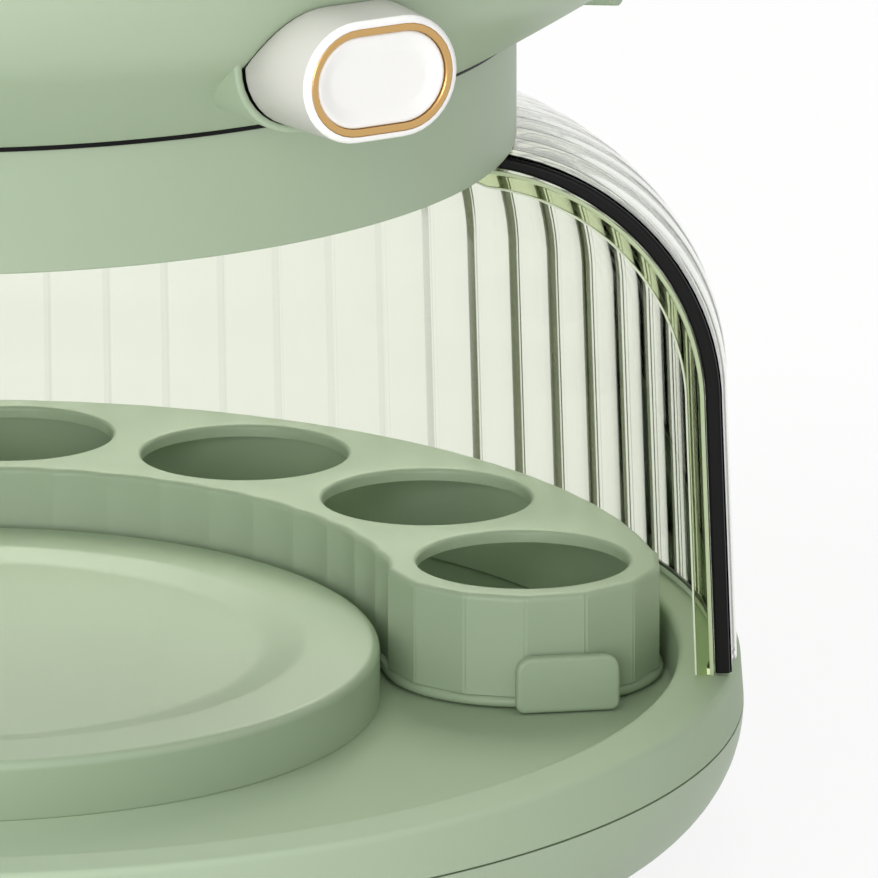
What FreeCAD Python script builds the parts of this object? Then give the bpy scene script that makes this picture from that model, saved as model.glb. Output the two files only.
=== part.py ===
import FreeCAD, Part
import math
import os
from types import SimpleNamespace

import Sketcher

document = FreeCAD.newDocument("EggCooker")

# Driving dimensions: millimetres, degrees or counts.
sizes = {
    # base deck and tub
    "rim_radius": 140.9,
    "rim_width": 10.9,
    "rim_height": 33.0,
    "rim_round": 1.2,
    "recess_depth": 10.0,
    "recess_draft": 0.5,
    "deck_wall": 2.5,
    "deck_opening": 64.0,
    "tongue_wall": 2.0,
    "tongue_height": 2.5,
    "tongue_clearance": 0.5,
    "seam_radius": 141.6,
    "seam_drop": 9.0,
    "seam_gap": 0.4,
    "tub_wall": 2.5,
    "foot_height": 3.0,
    "foot_radius": 8.0,
    "foot_circle": 100.0,
    "foot_count": 4,
    "foot_turn": 45.0,
    # case screws and their posts
    "post_circle": 112.0,
    "post_radius": 4.5,
    "post_split": 14.0,
    "post_count": 4,
    "post_turn": 30.0,
    "screw_radius": 1.5,
    "screw_clearance": 0.05,
    "screw_head_radius": 3.0,
    "screw_head_height": 2.0,
    "head_clearance": 0.3,
    "screw_bite": 6.0,
    # heating plate and what hangs under it
    "plate_radius": 77.0,
    "plate_rise": 0.5,
    "plate_round": 1.5,
    "plate_skin": 3.0,
    "plate_skirt": 4.0,
    "dish_radius": 63.4,
    "dish_depth": 1.2,
    "dish_slope": 9.0,
    "seal_width": 2.3,
    "seal_height": 1.1,
    "seal_clearance": 0.1,
    "plate_post_circle": 68.5,
    "plate_post_radius": 3.6,
    "plate_post_count": 3,
    "heater_radius": 45.0,
    "heater_tube": 3.3,
    "heater_span": 320.0,
    "heater_pin_radius": 1.2,
    "heater_pin_length": 9.0,
    "thermostat_radius": 8.0,
    "thermostat_height": 7.0,
    "thermostat_flange": 11.0,
    "thermostat_flange_height": 1.2,
    "fuse_radius": 2.0,
    "fuse_length": 14.0,
    "fuse_offset": 25.0,
    "fuse_gap": 0.1,
    # egg tray
    "tray_inner_gap": 1.7,
    "tray_outer_gap": 0.4,
    "egg_count": 7,
    "egg_pitch": 25.26,
    "egg_hole_land": 5.3,
    "tray_rise": 10.8,
    "tray_wall": 2.6,
    "tray_top": 2.2,
    "lip_overhang": 0.9,
    "lip_height": 1.8,
    "inner_facets": 44,
    "outer_facets": 72,
    "lobe_facets": 14,
    "tab_width": 18.6,
    "tab_height": 9.6,
    "tab_thickness": 2.5,
    "tab_stand_off": 1.6,
    "tab_shift": 3.3,
    "tab_round": 2.7,
    "tab_lift": 0.25,
    "tab_web": 8.0,
    # clear shells
    "shell_wall": 2.0,
    "shell_gap": 1.0,
    "shell_foot_radius": 140.4,
    "shell_wall_radius": 138.45,
    "shell_wall_height": 48.5,
    "shoulder_radius": 45.0,
    "neck_radius": 98.1,
    "shell_span": 187.6,
    "strip_span": 0.6,
    "door_foot_gap": 0.3,
    "door_lip": 1.1,
    "door_lip_height": 2.0,
    "door_hang_gap": 0.4,
    # collar
    "collar_level": 93.5,
    "collar_height": 21.2,
    "collar_wall": 1.5,
    "collar_ledge_height": 2.0,
    "collar_running_gap": 0.4,
    "collar_web": 5.0,
    "collar_inner_skirt": 2.2,
    "collar_skirt_drop": 12.0,
    "neck_fit": 0.1,
    "neck_top_gap": 0.4,
    "collar_radius": 101.1,
    "gasket_height": 0.7,
    "gasket_inset": 0.2,
    "gasket_width": 5.0,
    "collar_screw_count": 3,
    "collar_screw_turn": 60.0,
    "collar_screw_drop": 6.0,
    # steam bowl
    "bowl_base_radius": 103.4,
    "belly_run": 26.9,
    "belly_rise": 17.9,
    "belly_round": 460.0,
    "round_run": 9.7,
    "round_rise": 18.8,
    "bowl_wall": 2.5,
    "bowl_lip_height": 24.6,
    "spigot_height": 4.0,
    "spigot_wall": 2.0,
    "spigot_clearance": 0.8,
    "steam_hole_radius": 4.0,
    "inner_steam_circle": 30.0,
    "inner_steam_count": 6,
    "outer_steam_circle": 62.0,
    "outer_steam_count": 12,
    "grip_out": 17.8,
    "grip_width": 40.0,
    "grip_level": 7.7,
    "grip_height": 6.0,
    "grip_sink": 3.4,
    # handles
    "handle_turn": -54.0,
    "handle_level": 18.6,
    "handle_length": 20.0,
    "handle_half_width": 14.9,
    "handle_half_height": 10.4,
    "socket_depth": 10.0,
    "boss_out": 26.6,
    "boss_floor": 20.0,
    "boss_wall": 1.6,
    "boss_fit": 0.15,
    "ring_border": 1.2,
    "ring_width": 1.27,
    "ring_depth": 1.0,
    "ring_proud": 0.05,
    "cap_depth": 8.0,
    "cap_recess": 0.3,
    "cap_fit": 0.05,
    # lid and knob
    "lid_edge_inset": 0.6,
    "lid_edge_height": 2.5,
    "lid_wall": 2.5,
    "lid_rise": 19.0,
    "lid_skirt_height": 5.0,
    "lid_skirt_wall": 2.0,
    "lid_skirt_clearance": 0.8,
    "knob_stem_radius": 8.0,
    "knob_stem_height": 9.0,
    "knob_radius": 17.0,
    "knob_height": 10.0,
    "knob_round": 2.0,
    "knob_ring_radius": 14.0,
    "knob_screw_radius": 2.0,
    "knob_screw_head": 4.5,
    "knob_screw_head_height": 2.5,
    "knob_screw_bite": 9.0,
    # power button, lamp and inlet
    "button_level": 14.7,
    "button_radius": 4.2,
    "button_proud": 1.2,
    "button_travel": 1.5,
    "button_flange": 1.2,
    "button_flange_height": 1.5,
    "button_running_gap": 0.1,
    "button_stop_gap": 0.2,
    "bezel_reach": 140.6,
    "bezel_radius": 5.6,
    "bezel_depth": 8.2,
    "bezel_fit": 0.1,
    "switch_width": 13.0,
    "switch_depth": 9.0,
    "switch_height": 10.5,
    "lamp_radius": 1.6,
    "lamp_offset": 14.0,
    "lamp_depth": 7.0,
    "inlet_level": 15.5,
    "inlet_width": 24.0,
    "inlet_height": 9.6,
    "inlet_reach": 139.0,
    "inlet_depth": 20.0,
    "inlet_cavity_depth": 10.0,
    "inlet_wall": 1.6,
    "inlet_fit": 0.1,
    "pin_radius": 1.2,
    "pin_spacing": 10.0,
    "pin_length": 8.0,
    "terminal_width": 30.0,
    "terminal_depth": 14.0,
    "terminal_height": 10.0,
    "terminal_back": 60.0,
}

sheet = document.addObject("Spreadsheet::Sheet", "Sizes")
for row, (name, value) in enumerate(sizes.items(), start=1):
    sheet.set("A%d" % row, name)
    sheet.set("B%d" % row, str(value))
    sheet.setAlias("B%d" % row, name)
document.recompute()


class Size:
    # A number together with the sheet expression that gives it.
    def __init__(self, text, value):
        self.text = text
        self.value = value

    def __add__(self, other):
        other = as_size(other)
        return Size("(%s + %s)" % (self.text, other.text), self.value + other.value)

    def __sub__(self, other):
        other = as_size(other)
        return Size("(%s - %s)" % (self.text, other.text), self.value - other.value)

    def __mul__(self, other):
        other = as_size(other)
        return Size("(%s * %s)" % (self.text, other.text), self.value * other.value)

    def __truediv__(self, other):
        other = as_size(other)
        return Size("(%s / %s)" % (self.text, other.text), self.value / other.value)

    def __neg__(self):
        return Size("(0 - %s)" % self.text, -self.value)


def as_size(amount):
    if isinstance(amount, Size):
        return amount
    return Size(repr(float(amount)), float(amount))


def root_of(amount):
    return Size("sqrt(%s)" % amount.text, math.sqrt(amount.value))


def cosine(angle):
    angle = as_size(angle)
    return Size("cos(%s * 1 deg)" % angle.text, math.cos(math.radians(angle.value)))


def sine(angle):
    angle = as_size(angle)
    return Size("sin(%s * 1 deg)" % angle.text, math.sin(math.radians(angle.value)))


zero = as_size(0)
size = SimpleNamespace(**{name: Size("Sizes." + name, float(value)) for name, value in sizes.items()})
nodes = []


def keep(thing, label):
    thing.Label = label
    nodes.append(thing)
    return thing


def bind(thing, field, amount):
    thing.setExpression(field, as_size(amount).text)


def place(thing, x=zero, y=zero, z=zero, rotation=None):
    x, y, z = as_size(x), as_size(y), as_size(z)
    spot = FreeCAD.Vector(x.value, y.value, z.value)
    thing.Placement = FreeCAD.Placement(spot, rotation or FreeCAD.Rotation())
    bind(thing, "Placement.Base.x", x)
    bind(thing, "Placement.Base.y", y)
    bind(thing, "Placement.Base.z", z)
    return thing


def turned(thing, angle):
    thing.Placement = FreeCAD.Placement(FreeCAD.Vector(), FreeCAD.Rotation(FreeCAD.Vector(0, 0, 1), angle.value))
    bind(thing, "Placement.Rotation.Angle", angle)
    return thing


# Solids from primitives and booleans

along_y = FreeCAD.Rotation(FreeCAD.Vector(1, 0, 0), -90)


def cylinder(name, radius, height, x=zero, y=zero, z=zero, rotation=None):
    made = document.addObject("Part::Cylinder", name)
    bind(made, "Radius", radius)
    bind(made, "Height", height)
    return place(made, x, y, z, rotation)


def block(name, length, width, height, x=zero, y=zero, z=zero):
    made = document.addObject("Part::Box", name)
    bind(made, "Length", length)
    bind(made, "Width", width)
    bind(made, "Height", height)
    return place(made, x, y, z)


def joined(name, things):
    made = document.addObject("Part::MultiFuse", name)
    made.Shapes = things
    return made


def group(name, things):
    made = document.addObject("Part::Compound", name)
    made.Links = things
    return made


def cut(name, base, tool):
    made = document.addObject("Part::Cut", name)
    made.Base = base
    made.Tool = tool
    return made


def common(name, base, tool):
    made = document.addObject("Part::Common", name)
    made.Base = base
    made.Tool = tool
    return made


# Bodies with sketches

def new_body(name):
    return document.addObject("PartDesign::Body", name)


def new_sketch(body, role, lift=None):
    sketch = body.newObject("Sketcher::SketchObject", body.Name + "_sketch")
    plane = [item for item in body.Origin.OriginFeatures if item.Role == role][0]
    sketch.AttachmentSupport = (plane, [""])
    sketch.MapMode = "FlatFace"
    if lift is not None:
        lift = as_size(lift)
        sketch.AttachmentOffset = FreeCAD.Placement(FreeCAD.Vector(0, 0, lift.value), FreeCAD.Rotation())
        bind(sketch, "AttachmentOffset.Base.z", lift)
    return sketch


def arc_between(start, end, radius):
    # A positive radius bulges to the right of the way from start to end.
    middle = (start + end) * 0.5
    along = end - start
    across = FreeCAD.Vector(along.y, -along.x, 0)
    across.normalize()
    half = along.Length / 2
    depth = abs(radius) - math.sqrt(radius * radius - half * half)
    return Part.Arc(start, middle + across * math.copysign(depth, radius), end)


def add_pin(constraints, links, item, end, x, y):
    for kind, amount in (("DistanceX", x), ("DistanceY", y)):
        links.append((len(constraints), amount))
        constraints.append(Sketcher.Constraint(kind, -1, 1, item, end, amount.value))


def closed_path(sketch, steps):
    # Each step is (x, y), or (x, y, radius) where an arc arrives at the point.
    points = [(as_size(step[0]), as_size(step[1])) for step in steps]
    spots = [FreeCAD.Vector(x.value, y.value, 0) for x, y in points]
    constraints = []
    links = []
    ends = []
    for index, step in enumerate(steps):
        start, end = spots[index - 1], spots[index]
        curved = len(step) > 2
        edge = arc_between(start, end, step[2].value) if curved else Part.LineSegment(start, end)
        item = sketch.addGeometry(edge, False)
        forward = sketch.getPoint(item, 1).distanceToPoint(start) < sketch.getPoint(item, 2).distanceToPoint(start)
        ends.append((item, 1 if forward else 2, 2 if forward else 1))
        if curved:
            reach = step[2] if step[2].value > 0 else -step[2]
            links.append((len(constraints), reach))
            constraints.append(Sketcher.Constraint("Radius", item, reach.value))
    for index, (x, y) in enumerate(points):
        item, first, last = ends[index]
        follower, follower_first, follower_last = ends[(index + 1) % len(ends)]
        constraints.append(Sketcher.Constraint("Coincident", item, last, follower, follower_first))
        add_pin(constraints, links, item, last, x, y)
    bind_constraints(sketch, constraints, links)


def circles(sketch, rounds):
    constraints = []
    links = []
    for x, y, radius in rounds:
        x, y = as_size(x), as_size(y)
        middle = FreeCAD.Vector(x.value, y.value, 0)
        ring = Part.Circle(middle, FreeCAD.Vector(0, 0, 1), radius.value)
        item = sketch.addGeometry(ring, False)
        links.append((len(constraints), radius))
        constraints.append(Sketcher.Constraint("Radius", item, radius.value))
        add_pin(constraints, links, item, 3, x, y)
    bind_constraints(sketch, constraints, links)


def bind_constraints(sketch, constraints, links):
    sketch.addConstraint(constraints)
    for index, amount in links:
        if "Sizes." in amount.text:
            bind(sketch, "Constraints[%d]" % index, amount)


def revolve(body, steps, span=None):
    sketch = new_sketch(body, "XZ_Plane")
    closed_path(sketch, steps)
    made = body.newObject("PartDesign::Revolution", body.Name + "_turning")
    made.Profile = sketch
    made.ReferenceAxis = (sketch, ["V_Axis"])
    made.Angle = 360
    if span is not None:
        made.Angle = span.value
        bind(made, "Angle", span)
    return body


def pad(body, sketch, length):
    made = body.newObject("PartDesign::Pad", body.Name + "_pad")
    made.Profile = sketch
    bind(made, "Length", length)
    return made


def drill(body, rounds, level, depth):
    # Cuts upwards from the level.
    sketch = new_sketch(body, "XY_Plane", level)
    circles(sketch, rounds)
    made = body.newObject("PartDesign::Pocket", body.Name + "_drilling")
    made.Profile = sketch
    made.Reversed = True
    bind(made, "Length", depth)
    return made


def ring_of(circle, count, first, radius):
    step = as_size(360) / count
    turns = [first + step * index for index in range(int(count.value))]
    return [(circle * cosine(turn), circle * sine(turn), radius) for turn in turns]


def capsule_path(half_width, half_height):
    straight = half_width - half_height
    return [(straight, -half_height), (half_width, zero, half_height), (straight, half_height, half_height),
            (-straight, half_height), (-half_width, zero, half_height), (-straight, -half_height, half_height)]


def capsule(name, half_width, half_height, start, end):
    # A bar of capsule section along X, flat ends at start and end, on the handle's level.
    body = new_body(name)
    sketch = new_sketch(body, "YZ_Plane", start)
    closed_path(sketch, capsule_path(half_width, half_height))
    pad(body, sketch, end - start)
    return place(body, z=handle_z)


# Levels shared by several pieces

floor_z = size.rim_height - size.recess_depth
floor_under_z = floor_z - size.deck_wall
seam_z = size.rim_height - size.seam_drop
corner_z = seam_z - size.seam_gap
tub_corner = corner_z - size.foot_height
tub_floor_z = size.foot_height + size.tub_wall
corner_centre = size.seam_radius - tub_corner
rim_inner = size.rim_radius - size.rim_width
plate_top_z = size.rim_height + size.plate_rise
plate_under_z = plate_top_z - size.dish_depth - size.plate_skin
tray_top_z = size.rim_height + size.tray_rise
shell_top_z = size.rim_height + size.shell_wall_height
collar_z = size.rim_height + size.collar_level
collar_top_z = collar_z + size.collar_height
bowl_z = collar_top_z + size.gasket_height
handle_z = bowl_z + size.handle_level
boss_reach = size.bowl_base_radius + size.boss_out
handle_reach = boss_reach + size.handle_length
handle_root = boss_reach - size.socket_depth
boss_root = handle_root - size.boss_floor
grip_reach = size.bowl_base_radius + size.grip_out
grip_root = size.bowl_base_radius - size.grip_sink


# Base

def make_base_deck():
    body = new_body("deck_turning")
    inner_foot = rim_inner - size.recess_draft
    outer_inside = size.seam_radius - size.deck_wall
    tongue_outer = size.seam_radius - size.tub_wall - size.tongue_clearance
    tongue_inner = tongue_outer - size.tongue_wall
    rim_under = size.rim_height - size.deck_wall
    revolve(body, [
        (size.seam_radius, seam_z),
        (size.rim_radius, size.rim_height - size.rim_round),
        (size.rim_radius - size.rim_round, size.rim_height, size.rim_round),
        (rim_inner + size.rim_round, size.rim_height),
        (rim_inner, size.rim_height - size.rim_round, size.rim_round),
        (inner_foot, floor_z),
        (size.deck_opening, floor_z),
        (size.deck_opening, floor_under_z),
        (inner_foot + size.deck_wall, floor_under_z),
        (rim_inner + size.deck_wall, rim_under),
        (tongue_inner, rim_under),
        (tongue_inner, seam_z - size.tongue_height),
        (tongue_outer, seam_z - size.tongue_height),
        (tongue_outer, seam_z),
        (outer_inside, seam_z),
    ])
    posts = new_sketch(body, "XY_Plane", size.post_split)
    circles(posts, ring_of(size.post_circle, size.post_count, size.post_turn, size.post_radius))
    pad(body, posts, floor_under_z - size.post_split)
    pilot = size.screw_radius + size.screw_clearance
    drill(body, ring_of(size.post_circle, size.post_count, size.post_turn, pilot), size.post_split,
          size.screw_bite + size.screw_clearance)
    drill(body, ring_of(size.plate_post_circle, size.plate_post_count, zero, pilot), floor_under_z, size.deck_wall)
    keep(body, "base_deck")


def make_base_tub():
    body = new_body("tub_turning")
    inside = size.seam_radius - size.tub_wall
    revolve(body, [
        (zero, size.foot_height),
        (corner_centre, size.foot_height),
        (size.seam_radius, corner_z, tub_corner),
        (inside, corner_z),
        (corner_centre, tub_floor_z, size.tub_wall - tub_corner),
        (zero, tub_floor_z),
    ])
    posts = new_sketch(body, "XY_Plane", size.foot_height)
    circles(posts, ring_of(size.post_circle, size.post_count, size.post_turn, size.post_radius))
    pad(body, posts, size.post_split - size.foot_height)
    passage = size.screw_radius + size.screw_clearance
    drill(body, ring_of(size.post_circle, size.post_count, size.post_turn, passage), size.foot_height,
          size.post_split - size.foot_height)
    sink = size.screw_head_radius + size.head_clearance
    drill(body, ring_of(size.post_circle, size.post_count, size.post_turn, sink), size.foot_height, screw_sink)
    front_hole = cylinder("bezel_hole", size.bezel_radius + size.bezel_fit, size.bezel_depth * 3,
                          y=-size.bezel_reach - size.bezel_depth, z=size.button_level, rotation=along_y)
    lamp_hole = cylinder("lamp_hole", size.lamp_radius + size.bezel_fit, size.lamp_depth * 3,
                         x=size.lamp_offset, y=-size.bezel_reach - size.lamp_depth, z=size.button_level,
                         rotation=along_y)
    width = size.inlet_width + size.inlet_fit * 2
    height = size.inlet_height + size.inlet_fit * 2
    inlet_hole = block("inlet_hole", width, size.inlet_depth * 2, height, x=-width / 2,
                       y=size.inlet_reach - size.inlet_depth, z=size.inlet_level - height / 2)
    openings = joined("tub_openings", [front_hole, lamp_hole, inlet_hole])
    keep(cut("tub_cut", body, openings), "base_tub")


screw_sink = size.screw_head_height + size.head_clearance


def screw_set(name, spots, head_z, reach):
    # Screws pointing up: a head below the level head_z and a shank that goes up from there.
    screws = []
    for index, (x, y, radius) in enumerate(spots):
        head = cylinder("%s_head_%d" % (name, index), size.screw_head_radius, size.screw_head_height, x, y,
                        head_z - size.screw_head_height)
        shank = cylinder("%s_shank_%d" % (name, index), radius, reach, x, y, head_z)
        screws.append(joined("%s_%d" % (name, index), [head, shank]))
    return keep(group(name + "_group", screws), name)


def make_case_fasteners():
    head_z = size.foot_height + screw_sink
    spots = ring_of(size.post_circle, size.post_count, size.post_turn, size.screw_radius)
    screw_set("case_screws", spots, head_z, size.post_split - head_z + size.screw_bite)
    spots = ring_of(size.plate_post_circle, size.plate_post_count, zero, size.screw_radius)
    screw_set("plate_screws", spots, floor_under_z, size.deck_wall + plate_bite)


def make_feet():
    feet = []
    for index, (x, y, radius) in enumerate(ring_of(size.foot_circle, size.foot_count, size.foot_turn,
                                                   size.foot_radius)):
        feet.append(cylinder("foot_%d" % index, radius, size.foot_height, x, y))
    keep(group("feet", feet), "rubber_feet")


# Heating plate

plate_bite = plate_under_z - floor_z - size.plate_skirt / 2


def make_heating_plate():
    body = new_body("plate_turning")
    skirt_inner = size.plate_radius - size.plate_skirt
    seat_outer = skirt_inner + size.seal_width + size.seal_clearance
    seat_z = floor_z + size.seal_height + size.seal_clearance
    dish_z = plate_top_z - size.dish_depth
    revolve(body, [
        (zero, plate_under_z),
        (skirt_inner, plate_under_z),
        (skirt_inner, seat_z),
        (seat_outer, seat_z),
        (seat_outer, floor_z),
        (size.plate_radius, floor_z),
        (size.plate_radius, plate_top_z - size.plate_round),
        (size.plate_radius - size.plate_round, plate_top_z, size.plate_round),
        (size.dish_radius, plate_top_z),
        (size.dish_radius - size.dish_slope, dish_z),
        (zero, dish_z),
    ])
    posts = new_sketch(body, "XY_Plane", floor_z)
    circles(posts, ring_of(size.plate_post_circle, size.plate_post_count, zero, size.plate_post_radius))
    pad(body, posts, plate_under_z - floor_z)
    pilot = size.screw_radius + size.screw_clearance
    drill(body, ring_of(size.plate_post_circle, size.plate_post_count, zero, pilot), floor_z,
          plate_bite + size.screw_clearance)
    keep(body, "heating_plate")

    seal = new_body("seal_turning")
    revolve(seal, [
        (skirt_inner, floor_z),
        (skirt_inner + size.seal_width, floor_z),
        (skirt_inner + size.seal_width, floor_z + size.seal_height),
        (skirt_inner, floor_z + size.seal_height),
    ])
    keep(seal, "plate_seal")


def make_heater():
    tube = document.addObject("Part::Torus", "heater_tube")
    bind(tube, "Radius1", size.heater_radius)
    bind(tube, "Radius2", size.heater_tube)
    bind(tube, "Angle3", size.heater_span)
    level = plate_under_z - size.heater_tube
    start = (as_size(360) - size.heater_span) / 2 + 90
    place(tube, z=level, rotation=FreeCAD.Rotation(FreeCAD.Vector(0, 0, 1), start.value))
    bind(tube, "Placement.Rotation.Angle", start)
    parts = [tube]
    for index, side in enumerate((1, -1)):
        turn = as_size(90) + (as_size(360) - size.heater_span) / 2 * side
        parts.append(cylinder("heater_pin_%d" % index, size.heater_pin_radius, size.heater_pin_length,
                              size.heater_radius * cosine(turn), size.heater_radius * sine(turn),
                              level - size.heater_pin_length))
    keep(joined("heater_join", parts), "heater_ring")

    case = cylinder("thermostat_case", size.thermostat_radius, size.thermostat_height,
                    z=plate_under_z - size.thermostat_height)
    flange = cylinder("thermostat_rim", size.thermostat_flange, size.thermostat_flange_height,
                      z=plate_under_z - size.thermostat_flange_height)
    keep(joined("thermostat_join", [case, flange]), "thermostat")

    sideways = FreeCAD.Rotation(FreeCAD.Vector(0, 1, 0), 90)
    fuse = cylinder("fuse_body", size.fuse_radius, size.fuse_length, x=-size.fuse_length / 2, y=-size.fuse_offset,
                    z=plate_under_z - size.fuse_radius - size.fuse_gap, rotation=sideways)
    keep(fuse, "thermal_fuse")

    terminal = block("terminal_body", size.terminal_width, size.terminal_depth, size.terminal_height,
                     x=-size.terminal_width / 2, y=size.terminal_back, z=tub_floor_z)
    keep(terminal, "terminal_block")


# Power button, lamp and inlet

def make_controls():
    bezel_back = size.bezel_reach - size.bezel_depth
    outer = cylinder("bezel_outer", size.bezel_radius, size.bezel_depth, y=-size.bezel_reach, z=size.button_level,
                     rotation=along_y)
    bore = cylinder("bezel_bore", size.button_radius + size.button_running_gap, size.bezel_depth * 2,
                    y=-size.bezel_reach - size.bezel_depth / 2, z=size.button_level, rotation=along_y)
    keep(cut("bezel_cut", outer, bore), "button_bezel")

    flange_front = bezel_back - size.button_stop_gap
    face = size.bezel_reach + size.button_proud
    stem = cylinder("button_stem", size.button_radius, face - flange_front, y=-face, z=size.button_level,
                    rotation=along_y)
    flange = cylinder("button_rim", size.button_radius + size.button_flange, size.button_flange_height,
                      y=-flange_front, z=size.button_level, rotation=along_y)
    keep(joined("button_join", [stem, flange]), "power_button")

    switch_front = flange_front - size.button_flange_height - size.button_travel - size.button_stop_gap
    switch = block("switch_body", size.switch_width, size.switch_depth, size.switch_height,
                   x=-size.switch_width / 2, y=-switch_front, z=floor_under_z - size.switch_height)
    keep(switch, "power_switch")

    lamp = cylinder("lamp_body", size.lamp_radius, size.lamp_depth, x=size.lamp_offset, y=-lamp_face,
                    z=size.button_level, rotation=along_y)
    keep(lamp, "indicator_lens")

    inlet = block("inlet_body", size.inlet_width, size.inlet_depth, size.inlet_height, x=-size.inlet_width / 2,
                  y=size.inlet_reach - size.inlet_depth, z=size.inlet_level - size.inlet_height / 2)
    cavity_width = size.inlet_width - size.inlet_wall * 2
    cavity_height = size.inlet_height - size.inlet_wall * 2
    cavity = block("inlet_cavity", cavity_width, size.inlet_cavity_depth * 2, cavity_height, x=-cavity_width / 2,
                   y=size.inlet_reach - size.inlet_cavity_depth, z=size.inlet_level - cavity_height / 2)
    keep(cut("inlet_cut", inlet, cavity), "power_inlet")
    pins = []
    for index, side in enumerate((1, -1)):
        pins.append(cylinder("inlet_pin_%d" % index, size.pin_radius, size.pin_length, x=size.pin_spacing / 2 * side,
                             y=size.inlet_reach - size.inlet_cavity_depth, z=size.inlet_level, rotation=along_y))
    keep(group("pins", pins), "inlet_pins")


lamp_face = size.bezel_reach - size.lamp_radius / 2


# Egg tray

# The tray fills the ring between the plate and the wall of the recess.
tray_half = (rim_inner - size.recess_draft - size.plate_radius - size.tray_inner_gap - size.tray_outer_gap) / 2
ring_radius = size.plate_radius + size.tray_inner_gap + tray_half
lobe_radius = tray_half - size.lip_overhang
egg_hole_radius = lobe_radius - size.egg_hole_land
first_egg = as_size(90) - size.egg_pitch * (size.egg_count - 1) / 2
egg_turns = [first_egg + size.egg_pitch * index for index in range(int(size.egg_count.value))]


def prism(name, sides, radius, height, x=zero, y=zero, z=zero, turn=zero):
    # The faces stand at the radius from the axis.
    made = document.addObject("Part::Prism", name)
    made.Polygon = int(sides.value)
    bind(made, "Polygon", sides)
    bind(made, "Circumradius", radius / cosine(as_size(180) / sides))
    bind(made, "Height", height)
    place(made, x, y, z, FreeCAD.Rotation(FreeCAD.Vector(0, 0, 1), turn.value))
    bind(made, "Placement.Rotation.Angle", turn)
    return made


def sector(name, radius, height, z):
    made = cylinder(name, radius, height, z=z)
    bind(made, "Angle", egg_turns[-1] - egg_turns[0])
    made.Placement.Rotation = FreeCAD.Rotation(FreeCAD.Vector(0, 0, 1), egg_turns[0].value)
    bind(made, "Placement.Rotation.Angle", egg_turns[0])
    return made


def round_band(name, half_width, bottom, height):
    # A band of even width along the ring, with round ends about the first and last egg.
    outer = sector(name + "_outer", ring_radius + half_width, height, bottom)
    inner = cylinder(name + "_inner", ring_radius - half_width, height, z=bottom)
    parts = [cut(name + "_arc", outer, inner)]
    for index, turn in enumerate((egg_turns[0], egg_turns[-1])):
        parts.append(cylinder("%s_end_%d" % (name, index), half_width, height, ring_radius * cosine(turn),
                              ring_radius * sine(turn), bottom))
    return joined(name, parts)


def faceted_band(name, bottom, height):
    outer = prism(name + "_outer", size.outer_facets, ring_radius + lobe_radius, height, z=bottom)
    inner = prism(name + "_inner", size.inner_facets, ring_radius - lobe_radius, height, z=bottom)
    slice_of = sector(name + "_sector", (ring_radius + lobe_radius) * 2, height, bottom)
    parts = [common(name + "_arc", cut(name + "_ring", outer, inner), slice_of)]
    for index, turn in enumerate((egg_turns[0], egg_turns[-1])):
        parts.append(prism("%s_end_%d" % (name, index), size.lobe_facets, lobe_radius, height,
                           ring_radius * cosine(turn), ring_radius * sine(turn), bottom,
                           turn))
    return joined(name, parts)


def lift_tab(name, turn, side):
    # A small rounded plate on a web at the tip of an end lobe, facing along the ring.
    body = new_body(name)
    sketch = new_sketch(body, "XZ_Plane")
    half = size.tab_width / 2
    corner = size.tab_round
    bottom = floor_z + size.tab_lift
    top = bottom + size.tab_height
    closed_path(sketch, [
        (-half, bottom),
        (half, bottom),
        (half, top - corner),
        (half - corner, top, corner),
        (corner - half, top),
        (-half, top - corner, corner),
    ])
    pad(body, sketch, size.tab_thickness)
    web_depth = size.tab_stand_off + size.tray_wall
    web = block(name + "_web", size.tab_web, web_depth, size.tab_height / 2)

    heading = turn if side > 0 else turn + 180
    back = lobe_radius + size.tab_stand_off
    middle_x = (ring_radius + size.tab_shift) * cosine(turn) + back * sine(heading)
    middle_y = (ring_radius + size.tab_shift) * sine(turn) - back * cosine(heading)
    web_x = -size.tab_shift * side - size.tab_web / 2
    web_y = -size.tab_thickness / 2
    place_heading(body, middle_x, middle_y, zero, heading)
    place_heading(web, middle_x + web_x * cosine(heading) - web_y * sine(heading),
                  middle_y + web_x * sine(heading) + web_y * cosine(heading),
                  bottom + size.tab_height / 4, heading)
    return [body, web]


def place_heading(thing, x, y, z, heading):
    place(thing, x, y, z, FreeCAD.Rotation(FreeCAD.Vector(0, 0, 1), heading.value))
    bind(thing, "Placement.Rotation.Angle", heading)


def make_egg_tray():
    height = tray_top_z - floor_z
    wall = faceted_band("tray_wall", floor_z, height)
    lip = round_band("tray_lip", lobe_radius + size.lip_overhang, floor_z, size.lip_height)
    tabs = lift_tab("tab_right", egg_turns[0], 1) + lift_tab("tab_left", egg_turns[-1], -1)
    hollow = round_band("tray_hollow", lobe_radius - size.tray_wall, floor_z, height - size.tray_top)
    holes = []
    for index, turn in enumerate(egg_turns):
        holes.append(cylinder("egg_hole_%d" % index, egg_hole_radius, height, ring_radius * cosine(turn),
                              ring_radius * sine(turn), floor_z + size.tray_top))
    solid = joined("tray_solid", [wall, lip] + tabs)
    keep(cut("tray_cut", solid, joined("tray_room", [hollow] + holes)), "egg_tray")


# Clear shells

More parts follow.
